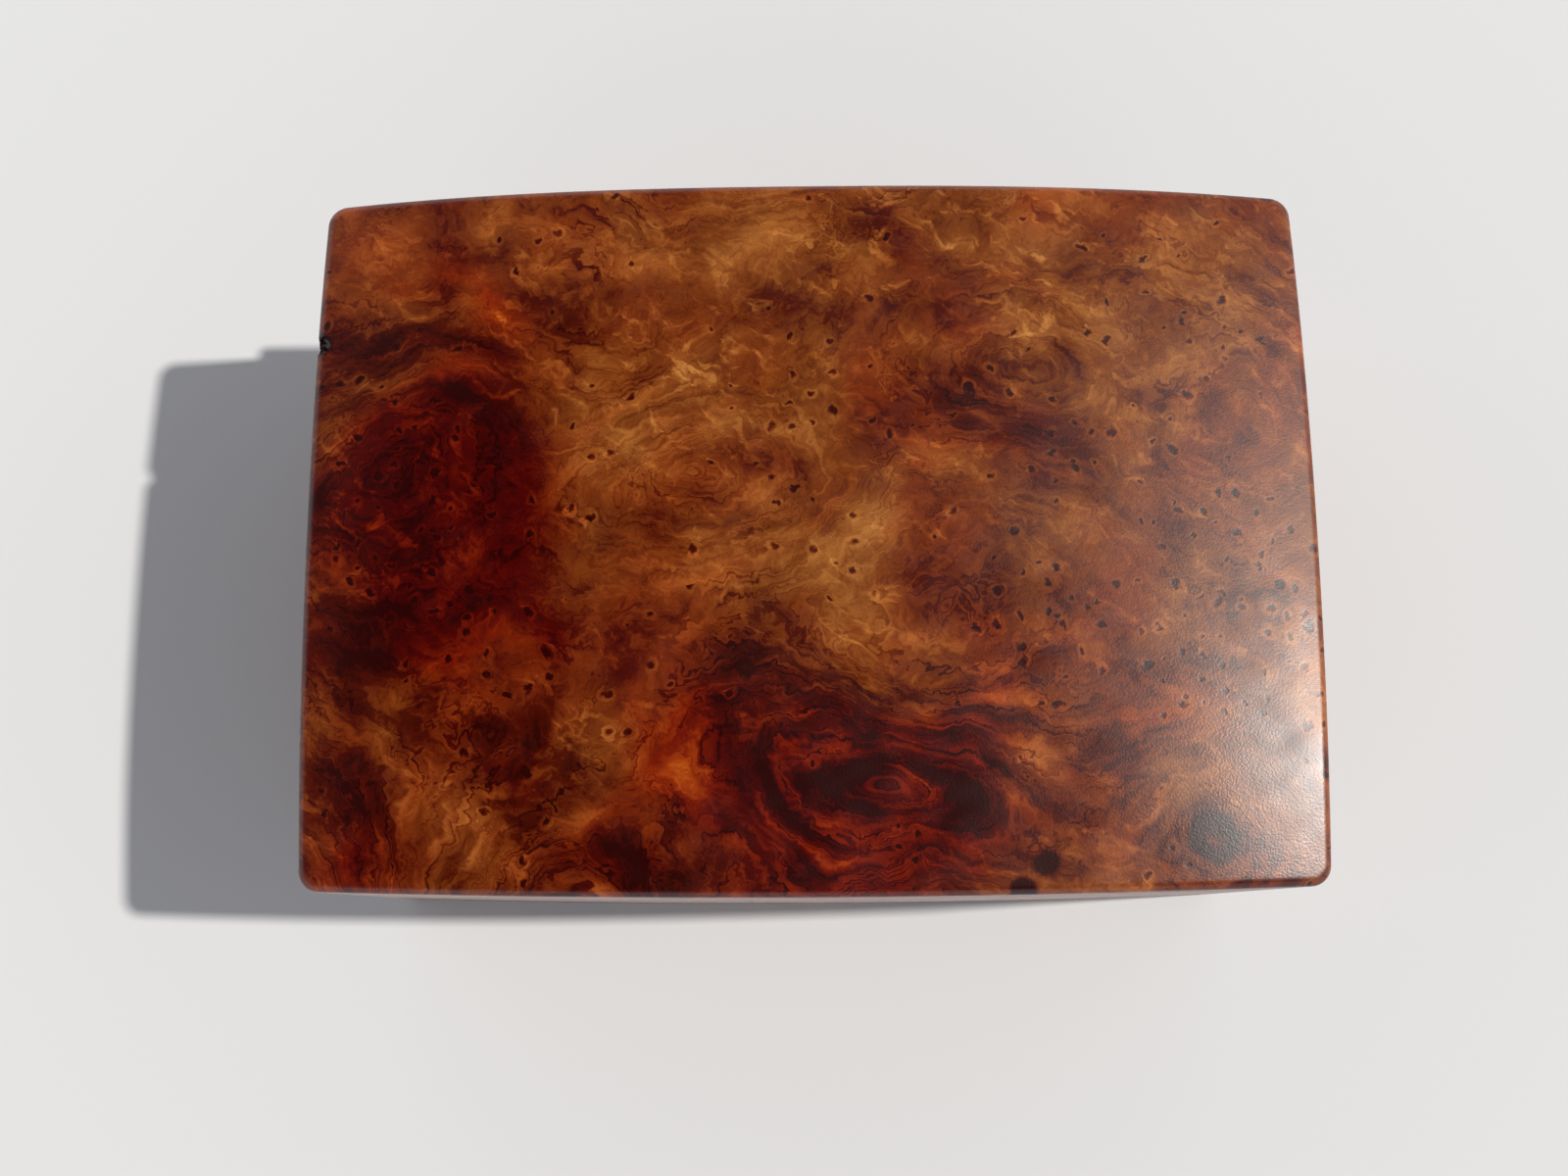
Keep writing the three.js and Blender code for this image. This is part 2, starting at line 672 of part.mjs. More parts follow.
// A turned disc pressed out to the plan outline: its profile holds shares of the way from the middle
// to the outline, and the dome lifts everything above the side.
function lidSlab() {
  const ring = outline().getPoints(CURVE_STEPS);
  ring.pop(); // it ends where it starts
  const rounded = [0, 30, 60, 90].map((degrees) => {
    const angle = (degrees * Math.PI) / 180;
    const inset = LID_ROUND * (1 - Math.cos(angle));
    return new THREE.Vector2(1 - inset / HALF_X, LID_CORNER - LID_ROUND * (1 - Math.sin(angle)));
  });
  const shares = [0.95, 0.88, 0.78, 0.65, 0.5, 0.34, 0.17, 0];
  const profile = [
    new THREE.Vector2(0, LID_BOTTOM),
    new THREE.Vector2(1, LID_BOTTOM),
    ...rounded,
    ...shares.map((share) => new THREE.Vector2(share, LID_CORNER)),
  ];
  const geometry = new THREE.LatheGeometry(profile, ring.length);
  const position = geometry.attributes.position;
  for (let i = 0; i < position.count; i++) {
    const { x: share, y: height } = profile[i % profile.length];
    const edge = ring[Math.floor(i / profile.length) % ring.length];
    const [x, y] = [share * edge.x, share * edge.y];
    position.setXYZ(i, x, y, height + (height > LID_BOTTOM ? crown(x, y) : 0));
  }
  const slab = solidOf(geometry);
  const { plate, selvedgeFront, staple } = LOCK;
  const stapleMortise = block(
    [staple - 8 - GLUE, staple + 8 + GLUE],
    [selvedgeFront - GLUE, -ROOM_Y + GLUE],
    [LID_BOTTOM - 1, LID_BOTTOM + plate + GLUE],
  );
  const holes = STAPLE_SCREWS.map((at) => screwHole(at, [0, 0, -1]));
  return cut(slab, chip(), stapleMortise, ...holes, ...hingeMortises(true));
}

// A void in the burl that opens through the lid's left edge.
const CHIP = { at: [-HALF_X + 0.7, 29.5, LID_CORNER + 0.9], size: [1.9, 1.5, 1.7] };
function chip() {
  const pit = new THREE.SphereGeometry(1, 12, 8).scale(...CHIP.size);
  return solidOf(pit.rotateZ(-0.5).translate(...CHIP.at));
}

// A thin panel that fills the underside and drops into the body, so that the lid sits true.
const LINER = { drop: 2.6, gap: 0.5 };
function lidLiner() {
  const [x, y] = [ROOM_X - LINER.gap, ROOM_Y - LINER.gap];
  return block([-x, x], [-y, y], [LID_BOTTOM - LINER.drop, LID_BOTTOM - GLUE]);
}

// ---- Assembly ----

// The screws of one hinge leaf: heads down under the lid, heads up in the body.
function leafScrews(side, x, isLid) {
  const { y, screwX, screwY } = HINGE;
  const owner = isLid ? "lid" : "body";
  const at = (dx) => [x + dx, y - screwY, isLid ? LID_BOTTOM : RIM];
  const rotation = isLid ? [Math.PI, 0, 0] : [0, 0, 0];
  return [
    mesh(`hinge_screw_${owner}_${side}_outer`, screw(), BRASS, at(x < 0 ? -screwX : screwX), rotation),
    mesh(`hinge_screw_${owner}_${side}_inner`, screw(), BRASS, at(x < 0 ? screwX : -screwX), rotation),
  ];
}

function leaf(side, x, isLid) {
  const name = `hinge_leaf_${isLid ? "lid" : "body"}_${side}`;
  return mesh(name, hingeLeaf(isLid), BRASS, [x, HINGE.y, HINGE.z]);
}

function hingePin(side, x) {
  const half = HINGE.length / 2;
  const pin = rod([-half, 0, 0], [half, 0, 0], HINGE.pin);
  return mesh(`hinge_pin_${side}`, pin, STEEL, [x, HINGE.y, HINGE.z]);
}

function stopPins() {
  const [x, z] = STOP.keyholeAt;
  const [y, keyZ] = STOP.keyAt;
  const length = CARCASS + STOP.reach - GLUE;
  const pin = () => rod([0, 0, 0], [0, length, 0], STOP.radius);
  return [
    mesh("stop_pin_keyhole_panel", pin(), BRASS, [x, -CORE_Y - STOP.reach, z]),
    mesh("stop_pin_key_panel", pin(), BRASS, [-CORE_X - STOP.reach, y, keyZ], [0, 0, -Math.PI / 2]),
  ];
}

const lid = group(
  [0, 0, 0],
  mesh("lid_slab", lidSlab(), BURL),
  mesh("lid_liner", lidLiner(), LEMONWOOD),
  mesh("staple_plate", staplePlate(), BRASS),
  ...STAPLE_SCREWS.map((at, i) =>
    mesh(`staple_screw_${i ? "right" : "left"}`, screw(), BRASS, at, [Math.PI, 0, 0]),
  ),
  ...HINGE_SIDES.flatMap(([side, x]) => [leaf(side, x, true), ...leafScrews(side, x, true)]),
);

const [keyX, keyZ] = LOCK.key;
const lock = group(
  [0, 0, 0],
  mesh("lock_plate", lockPlate(), BRASS),
  mesh("lock_case", lockCase(), BRASS),
  mesh("lock_bolt", lockBolt(), BRASS),
  mesh("lock_spring", lockSpring(), BRASS),
  mesh(
    "lock_key_post",
    rod([0, 0, 0], [0, 4.4, 0], LOCK.keyPost),
    STEEL,
    [keyX, PLATE_FRONT - 4.4 - GLUE, keyZ],
  ),
  ...LOCK_SCREWS.map(({ at, rotation }, i) =>
    mesh(
      `lock_screw_${i % 2 ? "plate" : "selvedge"}_${i < 2 ? "left" : "right"}`,
      screw(),
      BRASS,
      at,
      rotation,
    ),
  ),
);

const keyDrawer = group(
  [0, 0, 0],
  mesh("key_panel", keyPanel(), BURL),
  mesh("key_tray", keyTray(), LEMONWOOD),
  mesh(
    "key",
    key(),
    STEEL,
    [(TRAY_X[0] + TRAY.floor + TRAY_X[1]) / 2, (TRAY.y[0] + TRAY.y[1]) / 2, 33],
  ),
);

const body = group(
  [0, 0, 0],
  mesh("base_board", baseBoard(), BASE_WOOD),
  mesh("false_floor", falseFloor(), LEMONWOOD),
  mesh("carcass_front", carcassFront(), LEMONWOOD),
  mesh("carcass_back", carcassBack(), LEMONWOOD),
  mesh("carcass_left", carcassLeft(), LEMONWOOD),
  mesh("carcass_right", carcassRight(), LEMONWOOD),
  ...Object.keys(RAILS).flatMap((side) => [
    mesh(`foot_rail_${side}`, railAt(side, true), BURL),
    mesh(`rim_rail_${side}`, railAt(side, false), BURL),
  ]),
  mesh("front_panel", frontPanel([-FAR, KEYHOLE_PANEL_START - PLAY]), BURL),
  mesh("back_panel", backPanel(), BURL),
  mesh("right_panel", rightPanel(), BURL),
  ...stopPins(),
  ...HINGE_SIDES.flatMap(([side, x]) => [
    leaf(side, x, false),
    hingePin(side, x),
    ...leafScrews(side, x, false),
  ]),
);

const barrelOut = HINGE.y + HINGE.barrel - HALF_Y; // how far the hinges stand out behind
const puzzleBox = group(
  [0, -barrelOut / 2, 0],
  body,
  lock,
  keyDrawer,
  mesh("keyhole_panel", keyholePanel(), BURL),
  mesh("key_shuttle", shuttle(), BASE_WOOD, KEY_SHUTTLE_AT),
  mesh("keyhole_shuttle", shuttle(), BASE_WOOD, KEYHOLE_SHUTTLE_AT, [0, 0, Math.PI / 2]),
  lid,
);

export default puzzleBox;
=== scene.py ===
"""A secret-opening puzzle box of polished thuya burl, closed, on a pale table. Metres, +Z up.

Sizes named _MM are millimetres. Wood patterns are worked out in millimetres in the plank's own frame.
"""

import json
import math

import bmesh
import bpy
import numpy as np
from mathutils import Matrix, Vector


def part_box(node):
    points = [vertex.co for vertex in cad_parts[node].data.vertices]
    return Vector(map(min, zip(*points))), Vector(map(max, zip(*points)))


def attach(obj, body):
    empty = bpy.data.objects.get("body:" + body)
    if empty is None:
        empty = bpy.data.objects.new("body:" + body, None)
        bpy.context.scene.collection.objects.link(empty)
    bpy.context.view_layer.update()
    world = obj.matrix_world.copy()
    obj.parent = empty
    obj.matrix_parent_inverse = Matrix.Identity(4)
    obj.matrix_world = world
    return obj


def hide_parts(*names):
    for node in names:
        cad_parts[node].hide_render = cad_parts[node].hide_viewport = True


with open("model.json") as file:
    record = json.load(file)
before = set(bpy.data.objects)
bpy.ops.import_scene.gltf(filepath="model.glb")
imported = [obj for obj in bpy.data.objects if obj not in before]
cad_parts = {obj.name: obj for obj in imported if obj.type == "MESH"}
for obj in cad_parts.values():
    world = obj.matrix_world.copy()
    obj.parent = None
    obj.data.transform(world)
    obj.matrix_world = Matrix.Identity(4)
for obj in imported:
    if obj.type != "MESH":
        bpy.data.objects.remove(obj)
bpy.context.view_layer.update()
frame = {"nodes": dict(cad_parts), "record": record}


# ---- The view ----
# The box stands on a plain pale table, seen from nearly straight above and a little from the front.
# One small bright light stands to its right, and a soft sky fills the shadows from low all round.
# The sky is dim overhead, so that the polish mirrors little where the lid faces straight up.

MM = 0.001
MIDDLE_Y_MM = -0.8  # the wooden body's middle: the hinge barrels behind it shift the whole box's middle
CAMERA_MM = (-1.7, -57.9, 318.4)
CAMERA_TURNS = (("Y", 0.52), ("X", 10.98), ("Z", -0.34))  # degrees, in the order they are applied
LENS_MM = 39.75
LIGHT_HEIGHT = math.radians(52.8)
LIGHT_WIDTH = math.radians(1.7)
NOISE = "ShaderNodeTexNoise"
MATH = "ShaderNodeMath"
VECTOR_MATH = "ShaderNodeVectorMath"
RANGE = "ShaderNodeMapRange"
RAMP = "ShaderNodeValToRGB"
ATTRIBUTE = "ShaderNodeAttribute"
BUMP = "ShaderNodeBump"
PRINCIPLED = "ShaderNodeBsdfPrincipled"
LIGHT_STRENGTH = 3.4
LIGHT_FROM = math.radians(3)  # turned this far from the right towards the back
SKY_STRENGTH = 1.25


def linear(colour):
    """The linear colour of an sRGB hex value."""
    channels = [int(colour[i : i + 2], 16) / 255 for i in (1, 3, 5)]
    return tuple(c / 12.92 if c <= 0.04045 else ((c + 0.055) / 1.055) ** 2.4 for c in channels) + (1.0,)


def add_node(tree, kind, settings=None, links=None):
    """Adds a node. Settings are its properties. Links are its inputs: a value, a node for that node's first
    output, or a pair of a node and an output's name."""
    made = tree.nodes.new(kind)
    for name, value in (settings or {}).items():
        setattr(made, name, value)
    for name, value in (links or {}).items():
        socket = made.inputs[name]
        if isinstance(value, bpy.types.Node):
            tree.links.new(value.outputs[0], socket)
        elif isinstance(value, tuple) and isinstance(value[0], bpy.types.Node):
            tree.links.new(value[0].outputs[value[1]], socket)
        else:
            socket.default_value = value
    return made


def new_material(name):
    """An empty material, with its node tree and its surface output."""
    made = bpy.data.materials.new(name)
    made.use_nodes = True
    made.node_tree.nodes.clear()
    return made, made.node_tree, made.node_tree.nodes.new("ShaderNodeOutputMaterial")


def set_stops(ramp, stops):
    """Gives a colour ramp its stops, each a place from 0 to 1 and an sRGB hex colour."""
    elements = ramp.color_ramp.elements
    while len(elements) > 1:
        elements.remove(elements[-1])
    elements[0].position, elements[0].color = stops[0][0], linear(stops[0][1])
    for place, colour in stops[1:]:
        elements.new(place).color = linear(colour)


camera = bpy.data.objects.new("view_camera", bpy.data.cameras.new("view_camera"))
turned = Matrix.Identity(4)
for axis, degrees in CAMERA_TURNS:
    turned = turned @ Matrix.Rotation(math.radians(degrees), 4, axis)
camera.matrix_world = Matrix.Translation(Vector(CAMERA_MM) * MM) @ turned
camera.data.lens = LENS_MM
camera.data.sensor_width = 36
camera.data.clip_start = 0.01
bpy.context.scene.collection.objects.link(camera)
bpy.context.scene.camera = camera
bpy.context.scene.view_settings.view_transform = "Standard"

light = bpy.data.objects.new("window_light", bpy.data.lights.new("window_light", "SUN"))
light.data.energy = LIGHT_STRENGTH
light.data.angle = LIGHT_WIDTH
light.data.color = linear("#fffcf6")[:3]
raised = Matrix.Rotation(math.pi / 2 - LIGHT_HEIGHT, 4, "Y")
light.matrix_world = Matrix.Rotation(LIGHT_FROM, 4, "Z") @ raised
bpy.context.scene.collection.objects.link(light)

sky = bpy.data.worlds.new("soft_sky")
sky.use_nodes = True
sky.node_tree.nodes.clear()
heading = add_node(sky.node_tree, "ShaderNodeTexCoord")
height = add_node(sky.node_tree, "ShaderNodeSeparateXYZ", links={0: (heading, "Generated")})
fade = add_node(sky.node_tree, RAMP, links={0: (height, "Z")})
set_stops(fade, [(0.0, "#f2f4f8"), (0.5, "#eef1f7"), (0.72, "#5d6066"), (0.86, "#17181a"), (1.0, "#0b0b0d")])
glow = add_node(sky.node_tree, "ShaderNodeBackground", links={"Color": fade, "Strength": SKY_STRENGTH})
add_node(sky.node_tree, "ShaderNodeOutputWorld", links={"Surface": glow})
bpy.context.scene.world = sky

TABLE_HALF = 2.0
table_mesh = bpy.data.meshes.new("table")
table_corners = [(x * TABLE_HALF, y * TABLE_HALF, 0) for x, y in ((-1, -1), (1, -1), (1, 1), (-1, 1))]
table_mesh.from_pydata(table_corners, [], [(0, 1, 2, 3)])
table = bpy.data.objects.new("table", table_mesh)
bpy.context.scene.collection.objects.link(table)
table_finish, tree, output = new_material("matt_pale_cloth")
shade = add_node(
    tree,
    PRINCIPLED,
    links={"Base Color": linear("#cfcfd0"), "Roughness": 0.95, "Specular IOR Level": 0.1},
)
tree.links.new(shade.outputs[0], output.inputs["Surface"])
table_mesh.materials.append(table_finish)


# ---- The burl ----
# Thuya burl is the knotted root wood of a North African cypress: dark red heart, amber curls, fine growth
# lines that wind round many small bud eyes. It is oiled and hand polished to a satin gloss.
# Slow fields are stored on each mesh; the shader draws the fine lines, curls and eyes from them.

LID_HEARTS = (  # x, y, stretch along x, turn in degrees: where the lid's growth lines centre
    (10, -38, 1.55, -12),
    (56.5, -45.8, 1.1, 0),
    (-62, 6, 1.0, 0),
    (-16.5, 6.5, 1.2, 20),
    (28.7, 25.6, 1.2, 0),
    (-36, -66, 0.8, 0),
    (64, 16, 1.0, 30),
    (-6, 60, 1.6, 0),
)
LID_FIGURE = (  # x, y, reach x, reach y, turn, tone, redness: clouds of light and dark on the lid
    (-60, 30, 13, 3.6, -10, -0.62, 0.1),
    (-46, 25, 7, 3.0, -40, -0.30, 0.1),
    (-62, 0, 22, 38, 0, -0.34, 0.65),
    (2, -42, 29, 17, 0, -0.14, 0.6),
    (-61, 6, 15, 17, 0, -0.30, 0.35),
    (-41, 6, 5.5, 15, 20, -0.36, 0.25),
    (-56, -15, 17, 8, 8, -0.26, 0.4),
    (-67, -39, 9, 14, 0, -0.22, 0.4),
    (-28, -50.5, 12, 4.0, -14, -0.50, 0.2),
    (9, -40, 18, 9.5, -10, -0.36, 0.6),
    (-4, -36, 27, 17, 0, -0.18, 0.45),
    (8, -27.5, 13, 2.4, -4, -0.26, 0.2),
    (27, -42, 12, 2.6, -34, -0.28, -0.1),
    (8, 46, 12, 5, 0, -0.2, -0.1),
    (25, 15, 11, 6, -35, -0.2, 0.25),
    (34, 1, 10, 5, 0, -0.2, 0.0),
    (-9, 33, 9, 2.6, -25, -0.28, -0.1),
    (4, 27, 9, 2.6, -30, -0.25, -0.1),
    (-26, -6, 15, 2.8, 42, -0.24, 0.0),
    (48, -30, 10, 4, -10, -0.16, 0.1),
    (-20, 20, 16, 13, 0, 0.2, -0.15),
    (5, -4, 18, 7, 0, 0.12, -0.1),
    (10, -16, 14, 4, 8, 0.16, 0.1),
    (33, -31, 6, 9, 0, 0.2, -0.2),
    (-45, 33, 14, 3.6, -50, 0.22, 0.45),
    (-34, -33, 9, 12, 0, 0.06, -0.5),
    (54, -38, 15, 8, 0, 0.12, -0.1),
    (56, 34, 16, 12, 0, 0.1, -0.15),
    (-62, 46, 11, 5, 0, 0.12, 0.05),
)
LID_FLOW = (  # x, y, reach x, reach y, turn, curl, rings: where feathers and where growth lines show most
    (4, -37, 28, 17, 0, -0.5, 1.7),
    (-45, -36, 20, 16, 0, -0.1, 0.7),
    (-10, 28, 26, 15, -25, 0.7, -0.3),
    (20, 42, 26, 12, 0, 0.5, 0.0),
    (-52, 40, 12, 12, 0, 0.5, -0.2),
    (54, 36, 18, 16, 0, 0.3, -0.1),
    (40, -10, 30, 20, 0, -0.1, -0.3),
)
LID_EYES = (  # x, y, reach, share: where bud eyes crowd together
    (-60, 4, 14, 0.5),
    (-50, -12, 10, 0.3),
    (34, -12, 9, 0.6),
    (54, 2, 13, 0.4),
    (66, -14, 13, 0.7),
    (0, 6, 9, 0.2),
    (44, 24, 14, 0.2),
    (46, -20, 9, 0.4),
    (-6, 20, 18, 0.2),
)
LID_KNOTS = ((56.5, -45.8, 3.9, 0.75), (61.3, -46.2, 1.7, 0.3))  # x, y, radius, darkness
LID_PITS = ((32.7, -48.9, 1.4), (30.1, -52.6, 1.5))  # x, y, radius
LID_WORN = ((74, 6, 44, 38, 0.75), (-60, 0, 40, 90, -0.3))  # x, y, reach x, reach y, share of lost gloss
FIGURE_DEPTH = 0.44  # how strongly the lid's clouds darken or lighten
PIT_FLOOR_MM = 69.0  # the pits end this high above the table
HEART_BLEND_MM = 9.0
SIDE_HEART_SPACING_MM = 30.0
SIDE_HEART_JITTER = 0.45  # of the spacing
SWAY_MM = 1.7
RIPPLE_MM = 0.6


def clouds(points, wavelength, seed, waves=26):
    """Smooth noise of unit spread: a sum of plane waves in random directions, their lengths spread round
    the wavelength."""
    draw = np.random.default_rng(seed)
    ways = draw.normal(size=(3, waves))
    ways /= np.linalg.norm(ways, axis=0)
    pace = 2 * np.pi / (wavelength * draw.uniform(0.7, 1.5, waves))
    phases = points @ (ways * pace) + draw.uniform(0, 2 * np.pi, waves)
    return np.cos(phases).sum(axis=1) * math.sqrt(2 / waves)


def spread(points, x, y, reach_x, reach_y, turn):
    """Distance from a point of the face, measured in reaches along two turned axes."""
    across, up = points[:, 0] - x, points[:, 1] - y
    c, s = math.cos(math.radians(turn)), math.sin(math.radians(turn))
    return np.hypot((across * c + up * s) / reach_x, (up * c - across * s) / reach_y)


def side_hearts(low, high, seed):
    """Growth centres scattered over a side board, one to each square of the spacing."""
    draw = np.random.default_rng(seed)
    xs = np.arange(low[0] - 10, high[0] + 10, SIDE_HEART_SPACING_MM)
    ys = np.arange(low[1] - 10, high[1] + 20, SIDE_HEART_SPACING_MM)
    jitter = SIDE_HEART_SPACING_MM * SIDE_HEART_JITTER
    return [
        (
            x + draw.uniform(-jitter, jitter),
            y + draw.uniform(-jitter, jitter),
            draw.uniform(0.8, 1.6),
            draw.uniform(-60, 60),
        )
        for x in xs
        for y in ys
    ]


def burl_fields(plank, hearts, figure, flow, eyes, knots, pits, worn):
    """The slow fields of the burl at points of a plank, its face in the first two coordinates.

    growth is the distance to the nearest heart, with hearts blended softly where they meet and the plank
    swayed by long waves first. tone and red are sums of bell-shaped clouds over two octaves of noise.
    crowd is the share of bud eyes that show, curl the strength of the bright feathers, rings that of the
    growth lines, knot how black the wood is, and worn how much gloss it has lost."""
    sway = np.stack([clouds(plank, 34, seed) for seed in (11, 12, 13)], axis=1)
    ripple = np.stack([clouds(plank, 11, seed) for seed in (21, 22, 23)], axis=1)
    bent = plank + SWAY_MM * sway + RIPPLE_MM * ripple
    nearness = sum(
        np.exp(-spread(bent, x, y, stretch, 1 / stretch, turn) / HEART_BLEND_MM)
        for x, y, stretch, turn in hearts
    )
    growth = -HEART_BLEND_MM * np.log(nearness)
    tone = 0.045 * clouds(bent, 22, 31) + 0.035 * clouds(bent, 9, 32)
    red = -0.2 + 0.16 * clouds(bent, 40, 41) + 0.10 * clouds(bent, 15, 42)
    for x, y, reach_x, reach_y, turn, tone_share, red_share in figure:
        bell = np.exp(-spread(bent, x, y, reach_x, reach_y, turn) ** 2)
        tone += FIGURE_DEPTH * tone_share * bell
        red += red_share * bell
    crowd = 0.07 + 0.07 * clouds(plank, 24, 51)
    for x, y, reach, share in eyes:
        crowd += share * np.exp(-spread(plank, x, y, reach, reach, 0) ** 2)
    curl = 0.55 + 0.3 * clouds(plank, 28, 61)
    rings = 0.7 + 0.2 * clouds(plank, 30, 62)
    for x, y, reach_x, reach_y, turn, curl_share, ring_share in flow:
        bell = np.exp(-spread(bent, x, y, reach_x, reach_y, turn) ** 2)
        curl += curl_share * bell
        rings += ring_share * bell
    dulled = 0.3 + 0.06 * clouds(plank, 14, 63) + 0.05 * clouds(plank, 4, 64)
    for x, y, reach_x, reach_y, share in worn:
        dulled += share * np.exp(-spread(plank, x, y, reach_x, reach_y, 0) ** 2)
    knot = np.zeros(len(plank))
    for x, y, radius, dark in knots:
        reach = spread(plank + 0.35 * ripple, x, y, radius, radius, 0)
        rim = np.exp(-(((reach - 0.72) / 0.30) ** 2))
        knot += dark * (rim + 0.45 * np.exp(-(reach**4)) + 0.3 * np.exp(-(((reach - 1.35) / 0.1) ** 2)))
    shallow = np.exp(-(np.clip(PIT_FLOOR_MM - plank[:, 2], 0, None) ** 2))
    for x, y, radius in pits:
        reach = spread(plank + 0.3 * ripple, x, y, radius, radius, 0)
        knot += 1.6 * shallow * np.exp(-(reach**4))
    return {
        "growth": growth,
        "tone": tone,
        "red": red,
        "crowd": crowd,
        "curl": curl,
        "rings": rings,
        "knot": knot,
        "worn": dulled,
    }


def store(mesh, name, values):
    """Keeps one number, or three, for each vertex."""
    kind, key = ("FLOAT", "value") if values.ndim == 1 else ("FLOAT_VECTOR", "vector")
    kept = mesh.attributes.new(name, kind, "POINT")
    kept.data.foreach_set(key, values.astype(np.float32).ravel())


def vertices_mm(mesh):
    """A mesh's vertices in millimetres, one row each."""
    found = np.empty(len(mesh.vertices) * 3, dtype=np.float32)
    mesh.vertices.foreach_get("co", found)
    return found.reshape(-1, 3).astype(float) / MM


BURL_SHINE = 0.45  # an oiled surface mirrors less than a varnished one
WOOD_IOR = 1.46
HALF_COLOUR = (0.5, 0.5, 0.5)
burl, tree, output = new_material("polished_thuya_burl")
plank = add_node(tree, ATTRIBUTE, {"attribute_name": "plank"})
fields = {
    name: add_node(tree, ATTRIBUTE, {"attribute_name": name})
    for name in ("growth", "tone", "red", "crowd", "curl", "rings", "knot", "worn")
}

# Long and short wanderings of the fibres: two octaves of noise push each point of the plank about.
meander = add_node(
    tree, NOISE, links={"Vector": (plank, "Vector"), "Scale": 0.13, "Detail": 1.5, "Roughness": 0.5}
)
meander = add_node(tree, VECTOR_MATH, {"operation": "SUBTRACT"}, {0: (meander, "Color"), 1: HALF_COLOUR})
swayed = add_node(
    tree, VECTOR_MATH, {"operation": "MULTIPLY_ADD"}, {0: meander, 1: (7, 7, 7), 2: (plank, "Vector")}
)
quiver = add_node(tree, NOISE, links={"Vector": swayed, "Scale": 0.42, "Detail": 2.0, "Roughness": 0.55})
quiver_way = add_node(
    tree, VECTOR_MATH, {"operation": "SUBTRACT"}, {0: (quiver, "Color"), 1: HALF_COLOUR}
)
rippled = add_node(
    tree, VECTOR_MATH, {"operation": "MULTIPLY_ADD"}, {0: quiver_way, 1: (3.2, 3.2, 3.2), 2: swayed}
)

# Bud eyes: the points of a flat cellular pattern about 3 mm apart, which run straight through the plank's
# thickness, and of which only a share shows. Each is a dark pin with a paler ring.
eye_place = add_node(
    tree,
    VECTOR_MATH,
    {"operation": "MULTIPLY_ADD"},
    {0: quiver_way, 1: (2.6, 2.6, 0.5), 2: (plank, "Vector")},
)
eye_place = add_node(tree, VECTOR_MATH, {"operation": "MULTIPLY"}, {0: eye_place, 1: (0.34, 0.34, 0.05)})
eye_cells = add_node(
    tree,
    "ShaderNodeTexVoronoi",
    {"voronoi_dimensions": "2D"},
    {"Vector": eye_place, "Scale": 1.0, "Randomness": 1.0},
)
eye_luck = add_node(tree, "ShaderNodeSeparateColor", links={0: (eye_cells, "Color")})
eye_shows = add_node(
    tree, MATH, {"operation": "LESS_THAN"}, {0: (eye_luck, "Red"), 1: (fields["crowd"], "Fac")}
)
eye_size = add_node(
    tree, RANGE, links={"Value": (eye_luck, "Green"), "To Min": 0.13, "To Max": 0.29}
)
eye_reach = add_node(tree, MATH, {"operation": "DIVIDE"}, {0: (eye_cells, "Distance"), 1: eye_size})
eye_core = add_node(
    tree,
    RANGE,
    {"interpolation_type": "SMOOTHSTEP"},
    {"Value": eye_reach, "From Min": 1.1, "From Max": 0.35, "To Min": 0.0, "To Max": 1.0},
)
eye_core = add_node(tree, MATH, {"operation": "MULTIPLY"}, {0: eye_core, 1: eye_shows})
eye_halo = add_node(
    tree,
    RANGE,
    {"interpolation_type": "SMOOTHSTEP"},
    {"Value": eye_reach, "From Min": 2.4, "From Max": 0.8, "To Min": 0.0, "To Max": 1.0},
)
eye_halo = add_node(tree, MATH, {"operation": "MULTIPLY"}, {0: eye_halo, 1: eye_shows})

# Growth lines: noise that changes fast across the growth and slowly along it, bent round the eyes.
growth = add_node(
    tree, MATH, {"operation": "MULTIPLY_ADD"}, {0: (quiver, "Fac"), 1: 4.0, 2: (fields["growth"], "Fac")}
)
growth = add_node(tree, MATH, {"operation": "MULTIPLY_ADD"}, {0: eye_halo, 1: 1.1, 2: growth})
along = add_node(tree, VECTOR_MATH, {"operation": "MULTIPLY"}, {0: swayed, 1: (0.07, 0.07, 0.07)})
along = add_node(tree, "ShaderNodeSeparateXYZ", links={0: along})


def growth_noise(pace, detail, roughness):
    """Noise along the growth at so many cycles a millimetre."""
    across = add_node(tree, MATH, {"operation": "MULTIPLY"}, {0: growth, 1: pace})
    place = add_node(tree, "ShaderNodeCombineXYZ", links={0: across, 1: (along, "X"), 2: (along, "Y")})
    return add_node(
        tree, NOISE, links={"Vector": place, "Scale": 1.0, "Detail": detail, "Roughness": roughness}
    )


bands = growth_noise(0.32, 2.0, 0.55)
lines = growth_noise(1.3, 2.5, 0.6)
ring_strength = add_node(tree, MATH, {"operation": "SUBTRACT"}, {0: bands, 1: 0.5})
ringed = add_node(
    tree, MATH, {"operation": "MULTIPLY"}, {0: ring_strength, 1: (fields["rings"], "Fac")}
)
hairs = add_node(
    tree,
    RANGE,
    {"interpolation_type": "SMOOTHSTEP"},
    {"Value": growth_noise(2.1, 1.0, 0.5), "From Min": 0.44, "From Max": 0.30, "To Min": 0.0, "To Max": 1.0},
)

hairs = add_node(tree, MATH, {"operation": "MULTIPLY"}, {0: hairs, 1: (fields["rings"], "Fac")})

